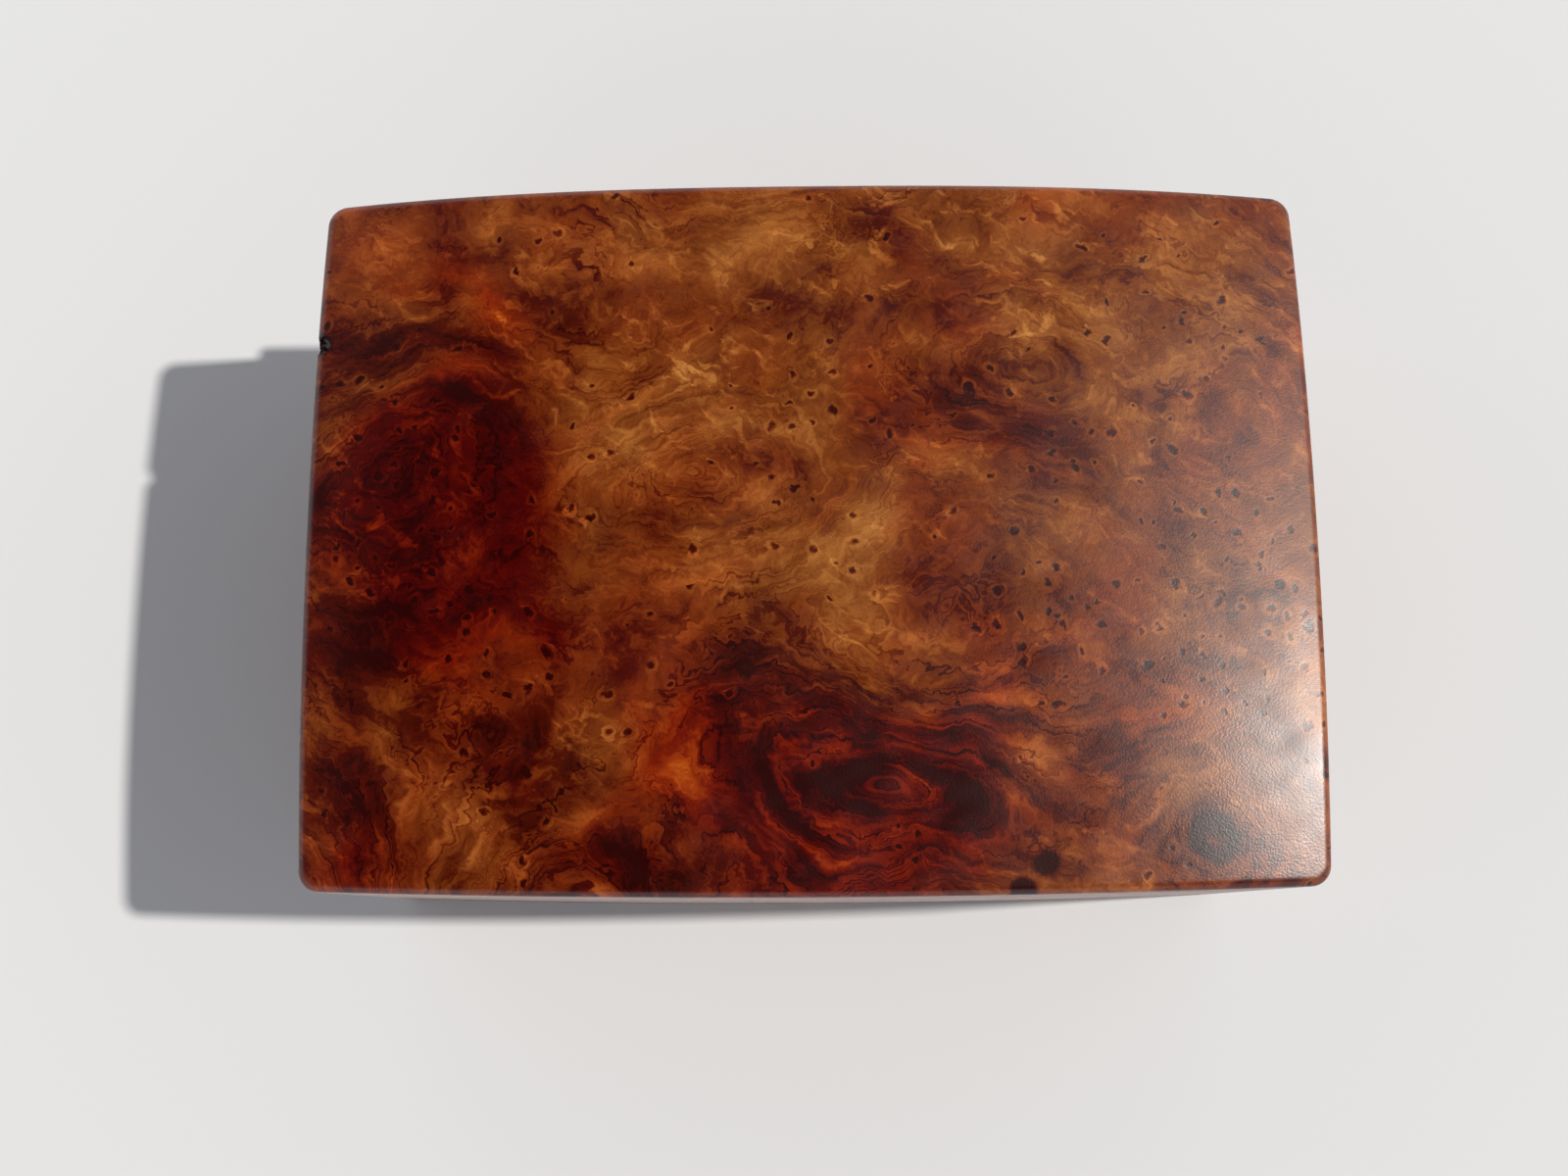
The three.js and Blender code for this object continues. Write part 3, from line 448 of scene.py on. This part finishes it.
# Bright feathers: the crests of a noise stretched along the curl, strongest where the wood is curly.
feather_place = add_node(
    tree,
    "ShaderNodeMapping",
    {"vector_type": "TEXTURE"},
    {"Vector": rippled, "Rotation": (0, 0, math.radians(-32)), "Scale": (5.4, 1.8, 3.0)},
)
feathers = add_node(
    tree, NOISE, links={"Vector": feather_place, "Scale": 1.0, "Detail": 2.5, "Roughness": 0.55}
)
feathers = add_node(
    tree,
    RANGE,
    {"interpolation_type": "SMOOTHSTEP"},
    {"Value": feathers, "From Min": 0.54, "From Max": 0.72, "To Min": 0.0, "To Max": 1.0},
)
feathers = add_node(tree, MATH, {"operation": "MULTIPLY"}, {0: feathers, 1: (fields["curl"], "Fac")})
mottle = add_node(tree, NOISE, links={"Vector": rippled, "Scale": 0.2, "Detail": 4.0, "Roughness": 0.62})
fibre = add_node(tree, NOISE, links={"Vector": rippled, "Scale": 2.2, "Detail": 3.0, "Roughness": 0.7})

# The tone runs from 0, near black, to 1, gold.
tone = add_node(tree, MATH, {"operation": "ADD"}, {0: (fields["tone"], "Fac"), 1: -0.19})
TONE_SHARES = (
    (mottle, 0.5),
    (ringed, 0.75),
    (lines, 0.42),
    (hairs, -0.18),
    (feathers, 0.22),
    (fibre, 0.22),
)
for part, weight in TONE_SHARES:
    tone = add_node(tree, MATH, {"operation": "MULTIPLY_ADD"}, {0: part, 1: weight, 2: tone})
tone = add_node(tree, MATH, {"operation": "MULTIPLY_ADD"}, {0: eye_halo, 1: 0.10, 2: tone})
tone = add_node(tree, MATH, {"operation": "MULTIPLY_ADD"}, {0: eye_core, 1: -0.42, 2: tone})
tone = add_node(tree, MATH, {"operation": "MULTIPLY_ADD"}, {0: (fields["knot"], "Fac"), 1: -0.6, 2: tone})

brown = add_node(tree, RAMP, links={0: tone})
set_stops(
    brown,
    [
        (0.0, "#260300"),
        (0.2, "#461002"),
        (0.42, "#70370f"),
        (0.62, "#925724"),
        (0.82, "#ad7036"),
        (1.0, "#c2884a"),
    ],
)
red = add_node(tree, RAMP, links={0: tone})
set_stops(
    red,
    [
        (0.0, "#240000"),
        (0.2, "#430200"),
        (0.42, "#6a1501"),
        (0.62, "#8c3206"),
        (0.82, "#ad5616"),
        (1.0, "#c47c2e"),
    ],
)
redness = add_node(
    tree,
    MATH,
    {"operation": "MULTIPLY_ADD", "use_clamp": True},
    {0: bands, 1: 0.8, 2: (fields["red"], "Fac")},
)
colour = add_node(tree, "ShaderNodeMix", {"data_type": "RGBA"}, {0: redness})
tree.links.new(brown.outputs[0], colour.inputs[6])
tree.links.new(red.outputs[0], colour.inputs[7])

# The polish: pores and bud eyes stand a little below it, and it is a little uneven.
pores = add_node(tree, NOISE, links={"Vector": (plank, "Vector"), "Scale": 3.0, "Detail": 2.0})
relief = add_node(tree, MATH, {"operation": "MULTIPLY_ADD"}, {0: eye_core, 1: -0.5, 2: pores})
bump = add_node(tree, BUMP, links={"Strength": 0.10, "Distance": 0.0002, "Height": relief})
gloss = add_node(tree, RANGE, links={"Value": (fields["worn"], "Fac"), "To Min": 0.22, "To Max": 0.42})
shade = add_node(
    tree,
    PRINCIPLED,
    links={
        "Base Color": (colour, 2),
        "Roughness": gloss,
        "Normal": bump,
        "IOR": WOOD_IOR,
        "Specular IOR Level": BURL_SHINE,
    },
)
tree.links.new(shade.outputs[0], output.inputs["Surface"])


# ---- Plain woods ----
# The carcass, the false floor, the liner and the key tray are lemonwood: pale, straight and fine in the
# grain. The base board and the two shuttles are unpolished cedar. Grain runs along the plank's first axis.


def straight_wood(name, stops, ring_mm, roughness):
    """A straight-grained wood: noise 60 times longer along the plank than across, over wide rings."""
    made, tree, output = new_material(name)
    plank = add_node(tree, ATTRIBUTE, {"attribute_name": "plank"})
    bend = add_node(tree, NOISE, links={"Vector": (plank, "Vector"), "Scale": 0.03, "Detail": 1.0})
    bend = add_node(tree, VECTOR_MATH, {"operation": "SUBTRACT"}, {0: (bend, "Color"), 1: HALF_COLOUR})
    bent = add_node(
        tree, VECTOR_MATH, {"operation": "MULTIPLY_ADD"}, {0: bend, 1: (6, 6, 6), 2: (plank, "Vector")}
    )
    ring = (ring_mm * 30, ring_mm, ring_mm)
    wide = add_node(tree, VECTOR_MATH, {"operation": "DIVIDE"}, {0: bent, 1: ring})
    wide = add_node(tree, NOISE, links={"Vector": wide, "Scale": 1.0, "Detail": 3.0, "Roughness": 0.6})
    fine = add_node(tree, VECTOR_MATH, {"operation": "DIVIDE"}, {0: bent, 1: (9, 0.15, 0.15)})
    fine = add_node(tree, NOISE, links={"Vector": fine, "Scale": 1.0, "Detail": 2.0, "Roughness": 0.7})
    tone = add_node(tree, MATH, {"operation": "MULTIPLY"}, {0: fine, 1: 0.35})
    tone = add_node(tree, MATH, {"operation": "MULTIPLY_ADD"}, {0: wide, 1: 0.65, 2: tone})
    colour = add_node(tree, RAMP, links={0: tone})
    set_stops(colour, stops)
    bump = add_node(tree, BUMP, links={"Strength": 0.25, "Distance": 0.0002, "Height": fine})
    shade = add_node(
        tree,
        PRINCIPLED,
        links={"Base Color": colour, "Roughness": roughness, "Normal": bump, "IOR": WOOD_IOR},
    )
    tree.links.new(shade.outputs[0], output.inputs["Surface"])
    return made


lemonwood = straight_wood(
    "fine_lemonwood", [(0.3, "#b98547"), (0.5, "#d0a263"), (0.7, "#dfba80")], ring_mm=1.6, roughness=0.48
)
cedar = straight_wood(
    "raw_cedar", [(0.3, "#7c4a28"), (0.5, "#9c673c"), (0.7, "#b07d4e")], ring_mm=2.6, roughness=0.62
)


# ---- Brass and steel ----
# Hinges, lock and screws are drawn and filed brass, gone slightly dull. The key, the hinge pins and the
# key's post are bright steel. Fine file marks and finger dulling come from noise on Object coordinates.


def worked_metal(name, dark, light, roughness):
    """A metal whose colour and gloss wander a little over a few millimetres, with fine random scratches."""
    made, tree, output = new_material(name)
    place = add_node(tree, "ShaderNodeTexCoord")
    stain = add_node(
        tree, NOISE, links={"Vector": (place, "Object"), "Scale": 260.0, "Detail": 3.0, "Roughness": 0.6}
    )
    pace = (300, 6000, 6000)  # marks a metre along each axis
    marks = add_node(tree, VECTOR_MATH, {"operation": "MULTIPLY"}, {0: (place, "Object"), 1: pace})
    marks = add_node(tree, NOISE, links={"Vector": marks, "Scale": 1.0, "Detail": 1.0})
    colour = add_node(tree, RAMP, links={0: stain})
    set_stops(colour, [(0.35, dark), (0.65, light)])
    gloss = add_node(tree, RANGE, links={"Value": stain, "To Min": roughness + 0.1, "To Max": roughness})
    bump = add_node(tree, BUMP, links={"Strength": 0.1, "Distance": 0.00005, "Height": marks})
    shade = add_node(
        tree,
        PRINCIPLED,
        links={"Base Color": colour, "Metallic": 1.0, "Roughness": gloss, "Normal": bump},
    )
    tree.links.new(shade.outputs[0], output.inputs["Surface"])
    return made


brass = worked_metal("filed_brass", "#b08742", "#d9b76e", 0.28)
steel = worked_metal("bright_steel", "#8d8d8a", "#b9b9b5", 0.24)


# ---- The plan of the box ----
# Every outer face lies on one outline: four shallow bows joined by round corners. A square grid pressed
# into it makes the lid, and pieces cut straight from the frame are eased on to it.

lid_low, lid_high = (np.array(corner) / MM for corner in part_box("lid_slab"))
HALF_X_MM = (lid_high[0] - lid_low[0]) / 2
HALF_Y_MM = (lid_high[1] - lid_low[1]) / 2
END_BOW_MM = 0.8
SIDE_BOW_MM = 1.2
CORNER_MM = 3.4
CORE_X_MM = HALF_X_MM - END_BOW_MM - CORNER_MM
CORE_Y_MM = HALF_Y_MM - SIDE_BOW_MM - CORNER_MM
OUTLINE_SAMPLES = 400
FACET_SAMPLES = 80
CORNER_SHARE = CORNER_MM / 60  # the part of each side of the square that is pressed into a corner
EASE_WITHIN_MM = 1


def press_to_plan(s, p, t, q):
    """A point of the plan and its distance from the outline. s and t run from -1 to 1 over a core whose four
    sides are shallow parabolas. p and q run on from the core to the outline, 0 to 1 or 0 to -1, along the
    core's normals, and at a corner the square of p and q is pressed into a quarter disc."""
    x = s * (CORE_X_MM + END_BOW_MM * (1 - t**2))
    y = t * (CORE_Y_MM + SIDE_BOW_MM * (1 - s**2))
    end_length = np.hypot(CORE_Y_MM, 2 * END_BOW_MM * t)
    side_length = np.hypot(CORE_X_MM, 2 * SIDE_BOW_MM * s)
    out_end = np.abs(p) * np.sqrt(1 - q**2 / 2) * CORNER_MM
    out_side = np.abs(q) * np.sqrt(1 - p**2 / 2) * CORNER_MM
    x = x + out_end * np.sign(p) * CORE_Y_MM / end_length + out_side * 2 * SIDE_BOW_MM * s / side_length
    y = y + out_end * 2 * END_BOW_MM * t / end_length + out_side * np.sign(q) * CORE_X_MM / side_length
    inset = CORNER_MM * (1 - np.sqrt(p**2 + q**2 - p**2 * q**2))
    return x, y, inset


def grid_lines(half, spacing, insets):
    """The two coordinates of each grid line, from one side to the other: its place across the core, and how
    far it lies out towards the outline."""
    outwards = 1 - np.array(sorted(insets)) / CORNER_MM
    core = np.linspace(-1, 1, 2 * round(half / spacing) + 1)
    low, high = -np.ones(len(outwards)), np.ones(len(outwards))
    return np.concatenate([low, core, high]), np.concatenate([-outwards, 0 * core, outwards[::-1]])


def smooth_radius(angles):
    """The outline's distance from the middle at each angle."""
    along = np.linspace(-1, 1, OUTLINE_SAMPLES)
    ones = np.ones(OUTLINE_SAMPLES)
    a, b = np.concatenate([ones, -along, -ones, along]), np.concatenate([along, ones, -along, -ones])
    share = 1 - CORNER_SHARE
    s, t = np.clip(a / share, -1, 1), np.clip(b / share, -1, 1)
    p = np.sign(a) * np.clip((np.abs(a) - share) / (1 - share), 0, 1)
    q = np.sign(b) * np.clip((np.abs(b) - share) / (1 - share), 0, 1)
    x, y, _ = press_to_plan(s, p, t, q)
    bearing = np.arctan2(y, x)
    order = np.argsort(bearing)
    return np.interp(angles, bearing[order], np.hypot(x, y)[order], period=2 * np.pi)


def faceted_radius(angles, steps=6):
    """The same for the frame's outline, whose bows are straight facets."""
    s = np.linspace(-1, 1, steps + 1)
    sweep = np.linspace(0, np.pi / 2, 2 * steps + 1)
    half_x, half_y = HALF_X_MM - END_BOW_MM, HALF_Y_MM - SIDE_BOW_MM
    end = np.stack([half_x + END_BOW_MM * (1 - s**2), CORE_Y_MM * s], axis=1)
    corner = np.stack([CORE_X_MM + CORNER_MM * np.cos(sweep), CORE_Y_MM + CORNER_MM * np.sin(sweep)], axis=1)
    side = np.stack([-CORE_X_MM * s, half_y + SIDE_BOW_MM * (1 - s**2)], axis=1)
    half = np.concatenate([end, corner, side, corner[::-1] * (-1, 1)])
    whole = np.concatenate([half, -half, half[:1]])
    steps_between = np.linspace(0, 1, FACET_SAMPLES)[:, None, None]
    dense = (whole[:-1] * (1 - steps_between) + whole[1:] * steps_between).reshape(-1, 2)
    bearing = np.arctan2(dense[:, 1], dense[:, 0])
    order = np.argsort(bearing)
    return np.interp(angles, bearing[order], np.hypot(dense[:, 0], dense[:, 1])[order], period=2 * np.pi)


def ease_on_to_plan(points):
    """Moves points near the faceted outline out in the ratio of the smooth outline to it."""
    x, y = points[:, 0], points[:, 1] - MIDDLE_Y_MM
    angles = np.arctan2(y, x)
    facet = faceted_radius(angles)
    share = np.where(np.hypot(x, y) > facet - EASE_WITHIN_MM, smooth_radius(angles) / facet, 1)
    return np.stack([x * share, y * share + MIDDLE_Y_MM, points[:, 2]], axis=1)


# ---- Pieces cut from the frame ----
# Panels, rails, boards and hardware keep the frame's exact joints, sockets and screw holes. Their edges are
# eased by a fine arris, as a maker does with sandpaper or a file, and the wood gets its plank frame.

BODY_OF = {node: body for body, nodes in frame["record"]["behaviour"]["bodies"].items() for node in nodes}
SLOT_OF = {entry["node"]: entry["material_slot"] for entry in frame["record"]["subparts"]}
# The axes of a plank's face, then its depth.
LYING = {"top": (0, 1, 2), "front": (0, 2, 1), "end": (1, 2, 0)}
SMOOTH_UNDER = math.radians(32)
HEART_SEED = 5
MERGE_MM = 0.002
FLAT_UNDER = math.radians(0.3)


def place_piece(name, mesh, finish, node):
    """Puts a mesh in the scene in place of its CAD node, on that node's body, with the finish it is given.
    """
    mesh.materials.clear()
    mesh.materials.append(finish)
    mesh.shade_smooth()
    mesh.set_sharp_from_angle(angle=SMOOTH_UNDER)
    piece = bpy.data.objects.new(name, mesh)
    bpy.context.scene.collection.objects.link(piece)
    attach(piece, BODY_OF[node])
    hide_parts(node)


def eased_mesh(node, arris_mm, spacing_mm=None):
    """A node's own shape, merged and with flat faces joined, its sharp edges rounded by the arris. With a
    spacing, it is cut along planes that far apart on all three axes."""
    work = bmesh.new()
    work.from_mesh(frame["nodes"][node].data)
    bmesh.ops.remove_doubles(work, verts=work.verts, dist=MERGE_MM * MM)
    bmesh.ops.dissolve_limit(work, angle_limit=FLAT_UNDER, verts=work.verts, edges=work.edges)
    sharp = [edge for edge in work.edges if edge.calc_face_angle(0) > SMOOTH_UNDER]
    bmesh.ops.bevel(
        work, geom=sharp, offset=arris_mm * MM, segments=2, profile=0.6, affect="EDGES", clamp_overlap=True
    )
    bmesh.ops.triangulate(work, faces=work.faces)
    if spacing_mm:
        low, high = (np.array(corner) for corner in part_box(node))
        for axis in range(3):
            normal = Vector([float(axis == other) for other in range(3)])
            for place in np.arange(low[axis], high[axis], spacing_mm * MM)[1:]:
                everything = [*work.verts, *work.edges, *work.faces]
                bmesh.ops.bisect_plane(work, geom=everything, plane_co=normal * place, plane_no=normal)
        bmesh.ops.triangulate(work, faces=work.faces)
    mesh = bpy.data.meshes.new(node + "_eased")
    work.to_mesh(mesh)
    work.free()
    return mesh


def wooden_piece(node, finish, lying, arris_mm, spacing_mm=None, shift=0.0):
    """A wooden piece cut from the frame, with its plank frame stored: two axes for the face and a third for
    the depth. A shift moves the figure along, so that no two boards are alike."""
    mesh = eased_mesh(node, arris_mm, spacing_mm)
    points = vertices_mm(mesh)
    if spacing_mm:
        points = ease_on_to_plan(points)
        mesh.vertices.foreach_set("co", (points * MM).astype(np.float32).ravel())
    board = points[:, LYING[lying]] + (shift, 0, 0)
    store(mesh, "plank", board)
    if finish is burl:
        span = ((shift - HALF_X_MM, 0), (shift + HALF_X_MM, lid_low[2]))
        hearts = side_hearts(*span, seed=round(abs(shift)) + HEART_SEED)
        for name, values in burl_fields(board, hearts, (), (), (), (), (), ()).items():
            store(mesh, name, values)
    place_piece(node + "_wood", mesh, finish, node)


BURL_SIDES = {  # the nodes of each side, cut from one board so that the figure runs through the joints
    ("front", 400.0): ("front_panel", "keyhole_panel", "foot_rail_front", "rim_rail_front"),
    ("front", 900.0): ("back_panel", "foot_rail_back", "rim_rail_back"),
    ("end", -400.0): ("key_panel", "foot_rail_left", "rim_rail_left"),
    ("end", -900.0): ("right_panel", "foot_rail_right", "rim_rail_right"),
}
for (lying, shift), nodes in BURL_SIDES.items():
    for node in nodes:
        wooden_piece(node, burl, lying, arris_mm=0.18, spacing_mm=3.0, shift=shift)

for node, lying in (
    ("carcass_front", "front"),
    ("carcass_back", "front"),
    ("carcass_left", "end"),
    ("carcass_right", "end"),
    ("false_floor", "top"),
    ("lid_liner", "top"),
    ("key_tray", "end"),
):
    wooden_piece(node, lemonwood, lying, arris_mm=0.25, shift=40.0 * len(node))
for node, lying in (("base_board", "top"), ("key_shuttle", "top"), ("keyhole_shuttle", "end")):
    wooden_piece(node, cedar, lying, arris_mm=0.3)

for node, slot in SLOT_OF.items():
    if slot in ("brass", "steel"):
        place_piece(node + "_metal", eased_mesh(node, 0.06), brass if slot == "brass" else steel, node)


# ---- The lid ----
# One thick slab of burl, cut only by the mortises for its hinges and its staple. Its top is
# sanded to a pillow that falls most towards the ends, with a small round at the edge. A bark pocket in the
# burl opens through its left edge as a chip.

LID_SPACING_MM = 0.5
LID_INSETS_MM = (0, 0.04, 0.13, 0.28, 0.48, 0.74, 1.05, 1.4, 1.9, 2.4, 2.9)
LID_ROUND_MM = 1.2
END_FALL_MM, END_POWER = 4.3, 3
SIDE_FALL_MM, SIDE_POWER = 1.6, 2.5
LID_ARRIS_MM = 0.25
LID_SIDE_STEPS = 12
LEAF_MM = 0.9
STAPLE_PLATE_MM = 1.0
CHIP_MM = (-HALF_X_MM + 0.7, 29.5, 68.0)
CHIP_REACH_MM = (1.9, 1.5, 1.7)
CHIP_LUMPS = 0.08
CHIP_STAIN_REACH = 1.12  # the black lining goes this much deeper than the chip
CHIP_STAIN = 0.9


def lid_top(x, y, inset):
    """Height of the lid's top: full in the middle, less a power of the distance towards each end and side,
    less a quarter round within the edge round's radius of the outline."""
    pillow = lid_high[2] - END_FALL_MM * np.abs(x / HALF_X_MM) ** END_POWER
    pillow = pillow - SIDE_FALL_MM * np.abs(y / HALF_Y_MM) ** SIDE_POWER
    into_round = np.clip(LID_ROUND_MM - inset, 0, LID_ROUND_MM)
    return pillow - LID_ROUND_MM + np.sqrt(LID_ROUND_MM**2 - into_round**2)


def lid_mesh():
    """The slab: a pressed grid for the top, rings from its edge down the side, and one face below."""
    s, p = grid_lines(CORE_X_MM, LID_SPACING_MM, LID_INSETS_MM)
    t, q = grid_lines(CORE_Y_MM, LID_SPACING_MM, LID_INSETS_MM)
    columns, rows = len(s), len(t)
    s, t = np.meshgrid(s, t)
    p, q = np.meshgrid(p, q)
    x, y, inset = press_to_plan(s, p, t, q)
    z = lid_top(x, y, inset)
    top = np.stack([x, y, z], axis=-1).reshape(-1, 3)
    number = np.arange(rows * columns).reshape(rows, columns)
    cells = np.stack([number[:-1, :-1], number[:-1, 1:], number[1:, 1:], number[1:, :-1]], axis=-1)
    cells = cells.reshape(-1, 4)
    rim = np.concatenate([number[0, :-1], number[:-1, -1], number[-1, :0:-1], number[:0:-1, 0]])
    edge = top[rim]
    inner = [field.reshape(-1)[rim] * (1 - LID_ARRIS_MM / CORNER_MM) for field in (p, q)]
    under_x, under_y, _ = press_to_plan(s.reshape(-1)[rim], inner[0], t.reshape(-1)[rim], inner[1])
    down = np.linspace(0, 1, LID_SIDE_STEPS + 1)[1:, None]
    side_z = edge[:, 2] + (lid_low[2] + LID_ARRIS_MM - edge[:, 2]) * down
    side_x, side_y = (np.broadcast_to(edge[:, axis], side_z.shape) for axis in (0, 1))
    side = np.stack([side_x, side_y, side_z], axis=-1)
    under = np.stack([under_x, under_y, np.full(len(rim), lid_low[2])], axis=-1)
    points = np.concatenate([top, side.reshape(-1, 3), under])
    below = np.arange(len(top), len(points)).reshape(-1, len(rim))
    rings = np.vstack([rim, below])
    after = np.roll(rings, -1, axis=1)
    walls = np.stack([rings[:-1], rings[1:], after[1:], after[:-1]], axis=-1).reshape(-1, 4)
    points[:, 1] += MIDDLE_Y_MM
    mesh = bpy.data.meshes.new("lid_slab_fine")
    faces = cells.tolist() + walls.tolist() + [rings[-1][::-1].tolist()]
    mesh.from_pydata((points * MM).tolist(), [], faces)
    return mesh


def cutter_block(low, high):
    """A closed block between two corners in millimetres, as a mesh for cutting."""
    work = bmesh.new()
    bmesh.ops.create_cube(work, size=1)
    for vertex in work.verts:
        vertex.co = Vector([(l + (h - l) * (c + 0.5)) * MM for l, h, c in zip(low, high, vertex.co)])
    mesh = bpy.data.meshes.new("cutter")
    work.to_mesh(mesh)
    work.free()
    return mesh


def cutter_ball(middle, reach, roughness_mm):
    """A lumpy closed ball: a fine sphere stretched to its reaches and pushed in and out by noise."""
    work = bmesh.new()
    bmesh.ops.create_icosphere(work, subdivisions=4, radius=1)
    mesh = bpy.data.meshes.new("cutter")
    work.to_mesh(mesh)
    work.free()
    ball = np.empty(len(mesh.vertices) * 3, dtype=np.float32)
    mesh.vertices.foreach_get("co", ball)
    ball = ball.reshape(-1, 3)
    lumps = 1 + roughness_mm * (clouds(ball * reach, 1.6, 71) + 0.5 * clouds(ball * reach, 0.7, 72))[:, None]
    ball = (ball * lumps * reach + middle) * MM
    mesh.vertices.foreach_set("co", ball.astype(np.float32).ravel())
    return mesh


def carve(mesh, cutters):
    """The mesh with each cutter's shape taken out of it."""
    work = bpy.data.objects.new("work", mesh)
    bpy.context.scene.collection.objects.link(work)
    tools = []
    for cutter in cutters:
        tool = bpy.data.objects.new("tool", cutter)
        bpy.context.scene.collection.objects.link(tool)
        bite = work.modifiers.new("bite", "BOOLEAN")
        bite.operation, bite.solver, bite.object = "DIFFERENCE", "MANIFOLD", tool
        tools.append(tool)
    carved = bpy.data.meshes.new_from_object(work.evaluated_get(bpy.context.evaluated_depsgraph_get()))
    for made in [work, *tools]:
        bpy.data.objects.remove(made)
    return carved


def cutter_barrel(low, high, room):
    """A closed rod along X that clears a hinge's barrel, which fills the back of the leaf's box."""
    diameter = high[2] - low[2]
    radius = diameter / 2 + room
    length = high[0] - low[0] + 2 * room
    middle = Vector(((high[0] + low[0]) / 2, high[1] - diameter / 2, (high[2] + low[2]) / 2))
    work = bmesh.new()
    bmesh.ops.create_cone(
        work,
        cap_ends=True,
        segments=BARREL_SIDES,
        radius1=radius * MM,
        radius2=radius * MM,
        depth=length * MM,
    )
    placed = Matrix.Translation(middle * MM) @ Matrix.Rotation(math.pi / 2, 4, "Y")
    bmesh.ops.transform(work, matrix=placed, verts=work.verts)
    mesh = bpy.data.meshes.new("cutter")
    work.to_mesh(mesh)
    work.free()
    return mesh


BARREL_SIDES = 48
BARREL_ROOM_MM = 0.2
LEAF_ROOM_MM = 0.1
PLATE_ROOM_MM = 0.05
PAST_FACE_MM = 1  # how far a cutter runs out below the lid
PAST_BACK_MM = 3  # and behind it
cutters = [cutter_ball(CHIP_MM + np.array([0, MIDDLE_Y_MM, 0]), np.array(CHIP_REACH_MM), CHIP_LUMPS)]
below = lid_low[2] - PAST_FACE_MM
for side in ("left", "right"):
    low, high = (np.array(corner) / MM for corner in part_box(f"hinge_leaf_lid_{side}"))
    leaf_low = (low[0] - LEAF_ROOM_MM, low[1] - LEAF_ROOM_MM, below)
    leaf_high = (high[0] + LEAF_ROOM_MM, high[1] + PAST_BACK_MM, lid_low[2] + LEAF_MM + PLATE_ROOM_MM)
    cutters.append(cutter_block(leaf_low, leaf_high))
    cutters.append(cutter_barrel(low, high, BARREL_ROOM_MM))
low, high = (np.array(corner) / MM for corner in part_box("staple_plate"))
plate_low = (low[0] - PLATE_ROOM_MM, low[1] - PLATE_ROOM_MM, below)
plate_high = (high[0] + PLATE_ROOM_MM, high[1] + PLATE_ROOM_MM, lid_low[2] + STAPLE_PLATE_MM + PLATE_ROOM_MM)
cutters.append(cutter_block(plate_low, plate_high))

mesh = carve(lid_mesh(), cutters)
points = vertices_mm(mesh) - (0, MIDDLE_Y_MM, 0)
store(mesh, "plank", points)
lid_fields = burl_fields(
    points, LID_HEARTS, LID_FIGURE, LID_FLOW, LID_EYES, LID_KNOTS, LID_PITS, LID_WORN
)
in_chip = np.linalg.norm((points - CHIP_MM) / (np.array(CHIP_REACH_MM) * CHIP_STAIN_REACH), axis=1)
lid_fields["knot"] += CHIP_STAIN * np.clip((1.1 - in_chip) / 0.2, 0, 1)
for name, values in lid_fields.items():
    store(mesh, name, values)
place_piece("lid_slab_wood", mesh, burl, "lid_slab")
